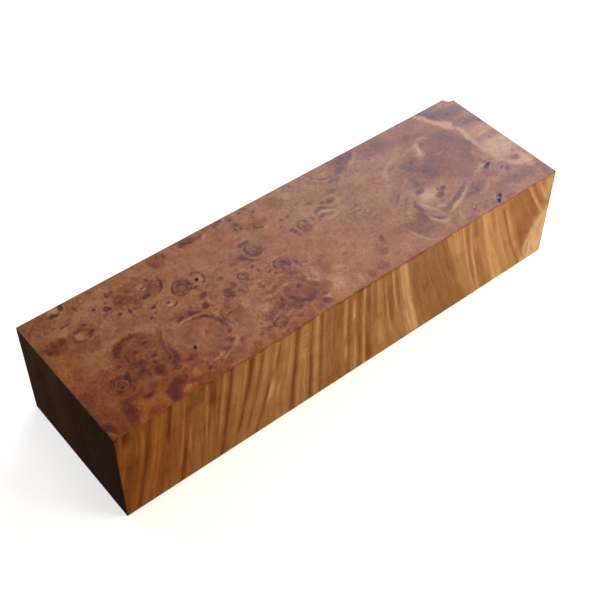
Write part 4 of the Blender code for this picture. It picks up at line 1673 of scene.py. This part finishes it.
class NodeBench:
    """Builds one material's node tree."""

    def __init__(self, material: bpy.types.Material) -> None:
        """Takes the material's tree, which holds its shader and its output.

        Args:
            material: The material to build.
        """
        material.use_nodes = True
        self.tree = material.node_tree
        self.shader = self.tree.nodes["Principled BSDF"]

    def feed(self, socket: Socket, value: object) -> None:
        """Links a socket to an output, or sets it where the value is a constant.

        Args:
            socket: The input.
            value: The output or constant that it gets.
        """
        if isinstance(value, Socket):
            self.tree.links.new(value, socket)
        else:
            socket.default_value = value

    @cached_property
    def place(self) -> Socket:
        """The piece's own coordinates, in millimetres."""
        metres = self.tree.nodes.new("ShaderNodeTexCoord").outputs["Object"]
        return self.scaled(metres, 1.0 / MILLIMETRE)

    def field(self, name: str) -> Socket:
        """A number painted on the mesh.

        Args:
            name: Its name.

        Returns:
            Its output.
        """
        node = self.tree.nodes.new("ShaderNodeAttribute")
        node.attribute_name = name
        return node.outputs["Fac"]

    def maths(self, operation: str, *values: object, clamp: bool = False) -> Socket:
        """A Math node.

        Args:
            operation: Its operation.
            values: Its inputs, linked or constant.
            clamp: Whether the result stays between 0 and 1.

        Returns:
            Its output.
        """
        node = self.tree.nodes.new("ShaderNodeMath")
        node.operation = operation
        node.use_clamp = clamp
        for socket, value in zip(node.inputs, values):
            self.feed(socket, value)
        return node.outputs["Value"]

    def vectors(self, operation: str, a: object, b: object) -> Socket:
        """A Vector Math node on two vectors.

        Args:
            operation: Its operation.
            a: The first vector.
            b: The second vector.

        Returns:
            Its output.
        """
        node = self.tree.nodes.new("ShaderNodeVectorMath")
        node.operation = operation
        self.feed(node.inputs[0], a)
        self.feed(node.inputs[1], b)
        return node.outputs["Vector"]

    def across(self, vector: object, axis: str) -> Socket:
        """One of a vector's three numbers.

        Args:
            vector: The vector.
            axis: X, Y or Z.

        Returns:
            The number.
        """
        node = self.tree.nodes.new("ShaderNodeSeparateXYZ")
        self.feed(node.inputs["Vector"], vector)
        return node.outputs[axis]

    def scaled(self, vector: object, factor: object) -> Socket:
        """A vector times a number.

        Args:
            vector: The vector.
            factor: The number.

        Returns:
            The product.
        """
        node = self.tree.nodes.new("ShaderNodeVectorMath")
        node.operation = "SCALE"
        self.feed(node.inputs["Vector"], vector)
        self.feed(node.inputs["Scale"], factor)
        return node.outputs["Vector"]

    def noise(
        self, vector: object, scale: float, detail: float = 2.0, rough: float = 0.5
    ) -> Socket:
        """A Noise Texture's value.

        Args:
            vector: Where it is read.
            scale: How fine it is.
            detail: Its octaves.
            rough: How strong the finer octaves are.

        Returns:
            Values round 0.5.
        """
        node = self.tree.nodes.new("ShaderNodeTexNoise")
        self.feed(node.inputs["Vector"], vector)
        node.inputs["Scale"].default_value = scale
        node.inputs["Detail"].default_value = detail
        node.inputs["Roughness"].default_value = rough
        return node.outputs["Fac"]

    def cells(self, vector: object, scale: float, feature: str) -> Socket:
        """A Voronoi Texture's distance, to a cell's middle or to its edge.

        Args:
            vector: Where it is read.
            scale: How fine it is.
            feature: Which distance it gives.

        Returns:
            The distance.
        """
        node = self.tree.nodes.new("ShaderNodeTexVoronoi")
        node.feature = feature
        self.feed(node.inputs["Vector"], vector)
        node.inputs["Scale"].default_value = scale
        return node.outputs["Distance"]

    def noise_colour(self, vector: object, scale: float) -> Socket:
        """A Noise Texture's three values together.

        Args:
            vector: Where it is read.
            scale: How fine it is.

        Returns:
            Three values round 0.5.
        """
        node = self.tree.nodes.new("ShaderNodeTexNoise")
        self.feed(node.inputs["Vector"], vector)
        node.inputs["Scale"].default_value = scale
        return node.outputs["Color"]

    def off_middle(self, value: object) -> Socket:
        """How far a value is above one half."""
        return self.maths("SUBTRACT", value, 0.5)

    def remap(
        self, value: object, low: float, high: float, to_low: float = 0.0, to_high: float = 1.0
    ) -> Socket:
        """Brings a range of values smoothly to another range.

        Args:
            value: What is brought there.
            low: One end of its range.
            high: The other end.
            to_low: What low becomes.
            to_high: What high becomes.

        Returns:
            The new value.
        """
        node = self.tree.nodes.new("ShaderNodeMapRange")
        node.interpolation_type = "SMOOTHSTEP"
        self.feed(node.inputs["Value"], value)
        node.inputs["From Min"].default_value = low
        node.inputs["From Max"].default_value = high
        node.inputs["To Min"].default_value = to_low
        node.inputs["To Max"].default_value = to_high
        return node.outputs["Result"]

    def ramp(self, value: object, places: Sizes, colours: Sequence[Colour]) -> Socket:
        """A Color Ramp that has these colours at these places.

        Args:
            value: What is read off the ramp.
            places: Where the colours stand, from 0 to 1.
            colours: The colours.

        Returns:
            The colour.
        """
        node = self.tree.nodes.new("ShaderNodeValToRGB")
        self.feed(node.inputs["Fac"], value)
        elements = node.color_ramp.elements
        while len(elements) < len(places):
            elements.new(0.5)
        for element, place, colour in zip(elements, places, colours):
            element.position = place
            element.color = (*colour, 1.0)
        return node.outputs["Color"]

    def mix(self, share: object, a: object, b: object, blend: str = "MIX") -> Socket:
        """A colour mix.

        Args:
            share: How much of b shows.
            a: The colour below.
            b: The colour above.
            blend: The way that they mix.

        Returns:
            The mixed colour.
        """
        node = self.tree.nodes.new("ShaderNodeMix")
        node.data_type = "RGBA"
        node.blend_type = blend
        self.feed(node.inputs["Factor"], share)
        for socket, colour in zip(node.inputs[6:8], (a, b)):
            self.feed(socket, colour if isinstance(colour, Socket) else (*colour, 1.0))
        return node.outputs[2]


@dataclass(frozen=True)
class BurlWood:
    """Sanded and lightly oiled maple burl.

    Attributes:
        deep: Colour of the darkest plain wood.
        brown: Colour of dark wood.
        golden: Colour of ordinary wood.
        honey: Colour of light wood.
        cream: Colour of the palest wood.
        bark_tint: What bark and bud cores leave of the wood's colour.
        slate_tint: What they leave of it towards the right end, purple-grey: partly a painted
            reflection of the cool sheen, which is strongest there.
        heart_tint: What red brown heartwood leaves of it.
        sap_tint: Colour of pale sapwood.
        glow_tint: What the orange parts of the wood leave of it.
        slate: Colour in the open slits of the grey corner: their dark inside with a painted
            reflection of the cool light.
        warm_tint: What the warmest wood leaves of it.
        cool_tint: What the coolest wood leaves of it.
        roughness: How matt the sanded surface is.
        grain_depth: How deep the finest grain is, in metres.
    """

    deep: Colour = (0.100, 0.026, 0.006)
    brown: Colour = (0.195, 0.072, 0.022)
    golden: Colour = (0.345, 0.152, 0.056)
    honey: Colour = (0.480, 0.252, 0.115)
    cream: Colour = (0.660, 0.418, 0.216)
    bark_tint: Colour = (0.37, 0.17, 0.15)
    slate_tint: Colour = (0.42, 0.29, 0.47)
    heart_tint: Colour = (0.60, 0.34, 0.22)
    sap_tint: Colour = (0.640, 0.445, 0.265)
    glow_tint: Colour = (0.93, 0.60, 0.10)
    slate: Colour = (0.085, 0.095, 0.150)
    warm_tint: Colour = (1.03, 0.95, 0.76)
    cool_tint: Colour = (0.97, 1.03, 1.22)
    roughness: float = 0.37
    grain_depth: float = 0.00004

    # Lightness of wood that has each of the first five colours
    TONES = (0.12, 0.32, 0.50, 0.68, 0.90)

    def material(self) -> bpy.types.Material:
        """Builds the wood.

        Returns:
            The finished material.
        """
        made = bpy.data.materials.new("maple_burl_wood")
        bench = NodeBench(made)
        layers = self.layered(bench, (0.62, 0.41, 0.50), 0.56, -0.49)
        streaks = bench.noise(layers, 1.0, 3.0, 0.6)
        hair = bench.noise(self.layered(bench, (1.3, 0.9, 1.1), 1.2, -1.05), 1.0, 2.0, 0.6)
        grit = bench.noise(bench.place, 2.2, 3.0, 0.65)
        streaked = bench.maths("MULTIPLY_ADD", bench.off_middle(streaks), 2.4, 1.3)
        shades = (self.deep, self.brown, self.golden, self.honey, self.cream)
        tone = self.lightness(bench, streaked, streaks, hair, grit)
        colour = bench.ramp(tone, self.TONES, shades)
        colour, glow = self.marked(bench, colour, grit, streaked)
        colour = self.varied(bench, colour, glow)
        # Dark blue-grey in the pocket slits, partly a painted reflection of the cool light.
        colour = bench.mix(bench.field("slate"), colour, self.slate)
        bench.feed(bench.shader.inputs["Base Color"], colour)
        self.sand(bench, hair, grit)
        made.diffuse_color = (*self.golden, 1.0)
        return made

    def layered(
        self, bench: NodeBench, across: Colour, loose: float, drawn: float
    ) -> Socket:
        """Coordinates that change slowly along the growth layers and fast across them.

        Args:
            bench: The tree being built.
            across: Change for each layer.
            loose: Change for each millimetre along a layer.
            drawn: What is added to it where the wood is drawn out.

        Returns:
            The coordinates.
        """
        along = bench.maths("MULTIPLY_ADD", bench.field("curl"), drawn, loose)
        rise = bench.scaled(across, bench.field("growth"))
        return bench.vectors("ADD", bench.scaled(bench.place, along), rise)

    def lightness(
        self, bench: NodeBench, streaked: Socket, streaks: Socket, hair: Socket, grit: Socket
    ) -> Socket:
        """The plain wood's lightness.

        Args:
            bench: The tree being built.
            streaked: How the streaks break up the light stripes.
            streaks: Streaks along the layers, round 0.5.
            hair: Hair lines along the layers, round 0.5.
            grit: The grit of the wood, round 0.5.

        Returns:
            The lightness, from 0 to 1.
        """
        curl = bench.field("curl")
        rippled = bench.maths("MULTIPLY", curl, bench.maths("SUBTRACT", 1.0, curl))
        hair_depth = bench.maths("MULTIPLY_ADD", curl, 0.06, 0.16)
        clouds = bench.noise(bench.place, 0.26, 4.0, 0.55)
        swings = (
            (clouds, bench.maths("MULTIPLY_ADD", curl, -0.22, 0.46)),
            (streaks, bench.maths("MULTIPLY_ADD", curl, 0.05, 0.18)),
            (hair, bench.maths("MULTIPLY_ADD", rippled, 0.9, hair_depth)),
            (grit, 0.36),
        )
        tone = bench.field("tone")
        for texture, depth in swings:
            tone = bench.maths("MULTIPLY_ADD", bench.off_middle(texture), depth, tone)
        tone = bench.maths("MULTIPLY_ADD", bench.field("shade"), -0.25, tone)
        light = bench.maths("MULTIPLY", bench.field("light"), streaked)
        return bench.maths("MULTIPLY_ADD", light, 0.21, tone)

    def marked(
        self, bench: NodeBench, colour: Socket, grit: Socket, streaked: Socket
    ) -> tuple[Socket, Socket]:
        """Lays sapwood, heartwood, bark and orange wood over the plain wood.

        Args:
            bench: The tree being built.
            colour: The plain wood's colour.
            grit: The grit of the wood, round 0.5.
            streaked: How the streaks break up sapwood and heartwood.

        Returns:
            The colour, and how orange each place is.
        """
        right = bench.remap(bench.across(bench.place, "X"), -30.0, 25.0)
        veins, buds, curls = self.curdled(bench)
        clumps = bench.noise(bench.place, 1.1, 3.0, 0.6)
        clumps = bench.maths("MULTIPLY_ADD", grit, 0.35, clumps)
        ragged = bench.remap(clumps, 0.50, 0.82, 0.55, 1.9)
        patches = bench.remap(bench.noise(bench.place, 0.45, 4.0, 0.62), 0.46, 0.62)
        patches = bench.maths("MULTIPLY", patches, bench.maths("MULTIPLY_ADD", right, -0.5, 0.8))
        patches = bench.maths("MAXIMUM", patches, curls)
        sap = self.laid(bench, SAP, streaked, veins, 0.30)
        heart = self.laid(bench, HEART, streaked, patches, 0.95)
        bark = self.laid(bench, BARK, ragged, buds, 0.80)
        colour = bench.mix(sap, colour, self.sap_tint)
        colour = bench.mix(heart, colour, self.heart_tint, "MULTIPLY")
        # Bark turns purple-grey towards the right end: partly a painted reflection of the cool
        # sheen, strongest there.
        bark_colour = bench.mix(right, self.bark_tint, self.slate_tint)
        colour = bench.mix(bark, colour, bark_colour, "MULTIPLY")
        kept = bench.maths("SUBTRACT", 1.0, bench.maths("MULTIPLY", sap, right))
        glow = bench.maths("MULTIPLY", bench.field("glow"), kept)
        return bench.mix(glow, colour, self.glow_tint, "MULTIPLY"), glow

    def laid(
        self, bench: NodeBench, mark: Mark, broken: Socket, budded: Socket, share: float
    ) -> Socket:
        """How much of a kind of mark shows.

        Args:
            bench: The tree being built.
            mark: The kind of mark.
            broken: How the wood's texture breaks up the painted marks.
            budded: What closely budded wood has of it.
            share: How much of that shows.

        Returns:
            The amount, from 0 to 1.
        """
        painted = bench.maths("MULTIPLY", bench.field(mark.value), broken)
        added = bench.maths("MULTIPLY", bench.field("curdle"), budded)
        return bench.maths("MULTIPLY_ADD", added, share, painted, clamp=True)

    def curdled(self, bench: NodeBench) -> tuple[Socket, Socket, Socket]:
        """The closely budded texture: small dark buds with veins and curled lines between them.

        Args:
            bench: The tree being built.

        Returns:
            How far each place is in a vein, in a bud, and in a curled line.
        """
        pull = bench.vectors("SUBTRACT", bench.noise_colour(bench.place, 0.9), (0.5, 0.5, 0.5))
        warped = bench.vectors("ADD", bench.place, bench.scaled(pull, 1.8))
        veins = bench.remap(bench.cells(warped, 0.62, "DISTANCE_TO_EDGE"), 0.16, 0.02)
        buds = bench.remap(bench.cells(warped, 0.62, "F1"), 0.42, 0.16)
        swirl = bench.off_middle(bench.noise(warped, 0.55))
        curls = bench.remap(bench.maths("ABSOLUTE", swirl), 0.052, 0.006)
        scattered = ((veins, 0.6, 0.42, 0.58), (buds, 0.5, 0.56, 0.46), (curls, 0.4, 0.40, 0.52))
        return tuple(
            bench.maths("MULTIPLY", kind, bench.remap(bench.noise(bench.place, scale), low, high))
            for kind, scale, low, high in scattered
        )

    def varied(self, bench: NodeBench, colour: Socket, glow: Socket) -> Socket:
        """Makes the wood warmer here and cooler there, least where it is drawn out or orange.

        Args:
            bench: The tree being built.
            colour: The colour so far.
            glow: How orange each place is.

        Returns:
            The colour.
        """
        wide = bench.noise(bench.vectors("ADD", bench.place, (31.0, 7.0, 3.0)), 0.12, 2.0, 0.6)
        close = bench.noise(bench.vectors("ADD", bench.place, (5.0, 57.0, 11.0)), 0.7, 3.0, 0.6)
        warmth = bench.remap(bench.maths("MULTIPLY_ADD", close, 0.8, wide), 0.62, 1.16)
        share = bench.maths("MULTIPLY_ADD", bench.field("curl"), -0.65, 1.0)
        share = bench.maths("MULTIPLY_ADD", glow, -0.9, share, clamp=True)
        tint = bench.mix(warmth, self.cool_tint, self.warm_tint)
        return bench.mix(share, colour, tint, "MULTIPLY")

    def sand(self, bench: NodeBench, hair: Socket, grit: Socket) -> None:
        """The sanded surface: a satin gloss, and the finest grain in relief.

        Args:
            bench: The tree being built.
            hair: Hair lines along the layers, round 0.5.
            grit: The grit of the wood, round 0.5.
        """
        gloss = bench.maths("MULTIPLY_ADD", bench.off_middle(hair), 0.16, self.roughness)
        bench.feed(bench.shader.inputs["Roughness"], gloss)
        bump = bench.tree.nodes.new("ShaderNodeBump")
        bump.inputs["Strength"].default_value = 0.25
        bump.inputs["Distance"].default_value = self.grain_depth
        bench.feed(bump.inputs["Height"], bench.maths("ADD", hair, grit))
        bench.feed(bench.shader.inputs["Normal"], bump.outputs["Normal"])


@dataclass(frozen=True)
class Softbox:
    """A soft rectangular light that faces the block.

    Attributes:
        name: Its name.
        azimuth: Degrees round the block, 0 at the striped side, 90 at the right end.
        elevation: Degrees above the floor.
        distance: Metres from the block.
        width: Width in metres.
        height: Height in metres.
        radiance: How bright its face is, where white paper in full light is about 1.
        colour: Its colour.
        sheen: Whether it shows in the wood's sheen, not only in its plain colour.
    """

    name: str
    azimuth: float
    elevation: float
    distance: float
    width: float
    height: float
    radiance: float
    colour: Colour
    sheen: bool = True

    def place(self, target: Vector) -> bpy.types.Object:
        """Puts the light in the scene, facing the target.

        Args:
            target: What it faces.

        Returns:
            The light.
        """
        light = bpy.data.lights.new(self.name, "AREA")
        light.shape = "RECTANGLE"
        light.size = self.width
        light.size_y = self.height
        light.energy = self.radiance * math.pi * self.width * self.height
        light.color = self.colour
        lamp = bpy.data.objects.new(self.name, light)
        lamp.visible_glossy = self.sheen
        away = direction(self.azimuth, self.elevation)
        lamp.location = target + away * self.distance
        lamp.rotation_euler = (-away).to_track_quat("-Z", "Y").to_euler()
        bpy.context.scene.collection.objects.link(lamp)
        return lamp


def direction(azimuth: float, elevation: float) -> Vector:
    """Unit vector from the block, with azimuth 0 towards the striped side.

    Args:
        azimuth: Degrees round the block.
        elevation: Degrees above the floor.

    Returns:
        The vector.
    """
    a = math.radians(azimuth)
    e = math.radians(elevation)
    return Vector((math.sin(a) * math.cos(e), -math.cos(a) * math.cos(e), math.sin(e)))


@dataclass(frozen=True)
class Studio:
    """The pale floor, the soft lights and the camera.

    Attributes:
        camera_place: The camera, in metres from the middle of the block's underside.
        azimuth: Degrees round the block that the camera stands at.
        elevation: Degrees above the floor that it looks down from.
        roll: Degrees that it is tipped by.
        focal: Focal length in pixels of the photograph.
        centre: Pixel of the photograph on the lens's axis.
        frame_width: Width of the photograph in pixels.
        sensor: Sensor width in millimetres.
        floor_size: Half the floor's width, in metres.
        floor_gap: How far the floor is below the block, in metres.
        floor_white: How white the floor is.
        floor_glow: How much it glows, so that it reads as the photograph's white.
        room_light: How bright the room round the block is.
        softboxes: The lights.
    """

    camera_place: Sizes = (-0.1119, -0.1350, 0.1984)
    azimuth: float = -40.65
    elevation: float = 46.79
    roll: float = 1.27
    focal: float = 1147.7
    centre: tuple[float, float] = (318.4, 288.0)
    frame_width: float = 600.0
    sensor: float = 36.0
    floor_size: float = 3.0
    floor_gap: float = 0.0002
    floor_white: float = 0.9
    floor_glow: float = 0.55
    room_light: float = 0.02
    softboxes: Sequence[Softbox] = (
        Softbox("window", 122.0, 26.0, 0.70, 0.60, 0.45, 4.1, (0.72, 0.78, 1.0)),
        Softbox("front_fill", 48.0, 14.0, 0.42, 0.34, 0.26, 10.6, (1.0, 0.86, 0.64), False),
        Softbox("overhead", 20.0, 86.0, 0.80, 0.5, 0.5, 2.6, (1.0, 0.86, 0.70)),
        Softbox("left_glow", -140.0, 24.0, 0.16, 0.07, 0.07, 4.4, (0.80, 0.90, 1.0)),
    )

    def set_up(self, middle: Vector) -> None:
        """Makes the camera, the lights, the world and the floor.

        Args:
            middle: The middle of the block, which the lights face.
        """
        scene = bpy.context.scene
        scene.view_settings.view_transform = "Standard"
        scene.view_settings.look = "None"
        self.camera(scene)
        for softbox in self.softboxes:
            softbox.place(middle)
        self.world(scene)
        self.floor(scene)

    def camera(self, scene: bpy.types.Scene) -> None:
        """The camera at the photograph's viewing angle.

        Args:
            scene: The scene that it is put in.
        """
        lens = bpy.data.cameras.new("camera")
        lens.sensor_width = self.sensor
        lens.lens = self.sensor * self.focal / self.frame_width
        lens.shift_x = (self.frame_width / 2 - self.centre[0]) / self.frame_width
        lens.shift_y = (self.centre[1] - self.frame_width / 2) / self.frame_width
        lens.clip_start = 0.01
        camera = bpy.data.objects.new("camera", lens)
        camera.location = self.camera_place
        back = direction(self.azimuth, self.elevation)
        aim = (-back).to_track_quat("-Z", "Y")
        tip = Matrix.Rotation(math.radians(self.roll), 3, "Z").to_quaternion()
        camera.rotation_mode = "QUATERNION"
        camera.rotation_quaternion = aim @ tip
        scene.collection.objects.link(camera)
        scene.camera = camera

    def world(self, scene: bpy.types.Scene) -> None:
        """A dim even room.

        Args:
            scene: The scene that it is put in.
        """
        room = bpy.data.worlds.new("room")
        room.use_nodes = True
        shade = room.node_tree.nodes["Background"]
        shade.inputs["Color"].default_value = (0.95, 0.93, 1.0, 1.0)
        shade.inputs["Strength"].default_value = self.room_light
        scene.world = room

    def floor(self, scene: bpy.types.Scene) -> None:
        """A plain white floor, which the block doesn't mirror or take light from.

        Args:
            scene: The scene that it is put in.
        """
        shape = bmesh.new()
        bmesh.ops.create_grid(shape, x_segments=1, y_segments=1, size=self.floor_size)
        floor = as_object("floor", shape)
        floor.location.z = -self.floor_gap
        scene.collection.objects.link(floor)
        paint = bpy.data.materials.new("white_floor")
        bench = NodeBench(paint)
        bench.shader.inputs["Base Color"].default_value = (*(self.floor_white,) * 3, 1.0)
        bench.shader.inputs["Roughness"].default_value = 0.9
        bench.shader.inputs["Emission Color"].default_value = (1.0, 1.0, 1.0, 1.0)
        bench.shader.inputs["Emission Strength"].default_value = self.floor_glow
        floor.data.materials.append(paint)
        floor.visible_diffuse = False
        floor.visible_glossy = False


def main() -> None:
    """Builds the block and the studio, and hides the CAD node that the block stands in for."""
    logging.basicConfig(level=logging.INFO, format="%(name)s: %(message)s")
    low, high = (Vector(corner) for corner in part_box(BLOCK_NODE))
    size = (high - low) / MILLIMETRE
    figures = {
        Page.TOP: TOP_FIGURE,
        Page.FRONT: FRONT_FIGURE,
        Page.UNDERSIDE: budded_figure(5, size.x, size.y),
        Page.BACK: striped_figure(6, size.x, 44, (0.46, 0.60)),
        # The left end's tone is painted shade: far darker than the right end's, and darkest
        # towards the front edge.
        Page.LEFT_END: striped_figure(7, size.y, 12, (0.42, 0.26), 0.4),
        Page.RIGHT_END: striped_figure(8, size.y, 12, (0.60, 0.60)),
    }
    block = BurlBlock(low, high, figures=figures).build()
    block.data.materials.clear()
    block.data.materials.append(BurlWood().material())
    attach(block, BODY)
    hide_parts(BLOCK_NODE)
    counts = len(block.data.polygons), len(block.data.vertices)
    log.info("%s: %d faces, %d vertices", block.name, *counts)
    Studio().set_up((low + high) / 2)


if __name__ == "__main__":
    main()
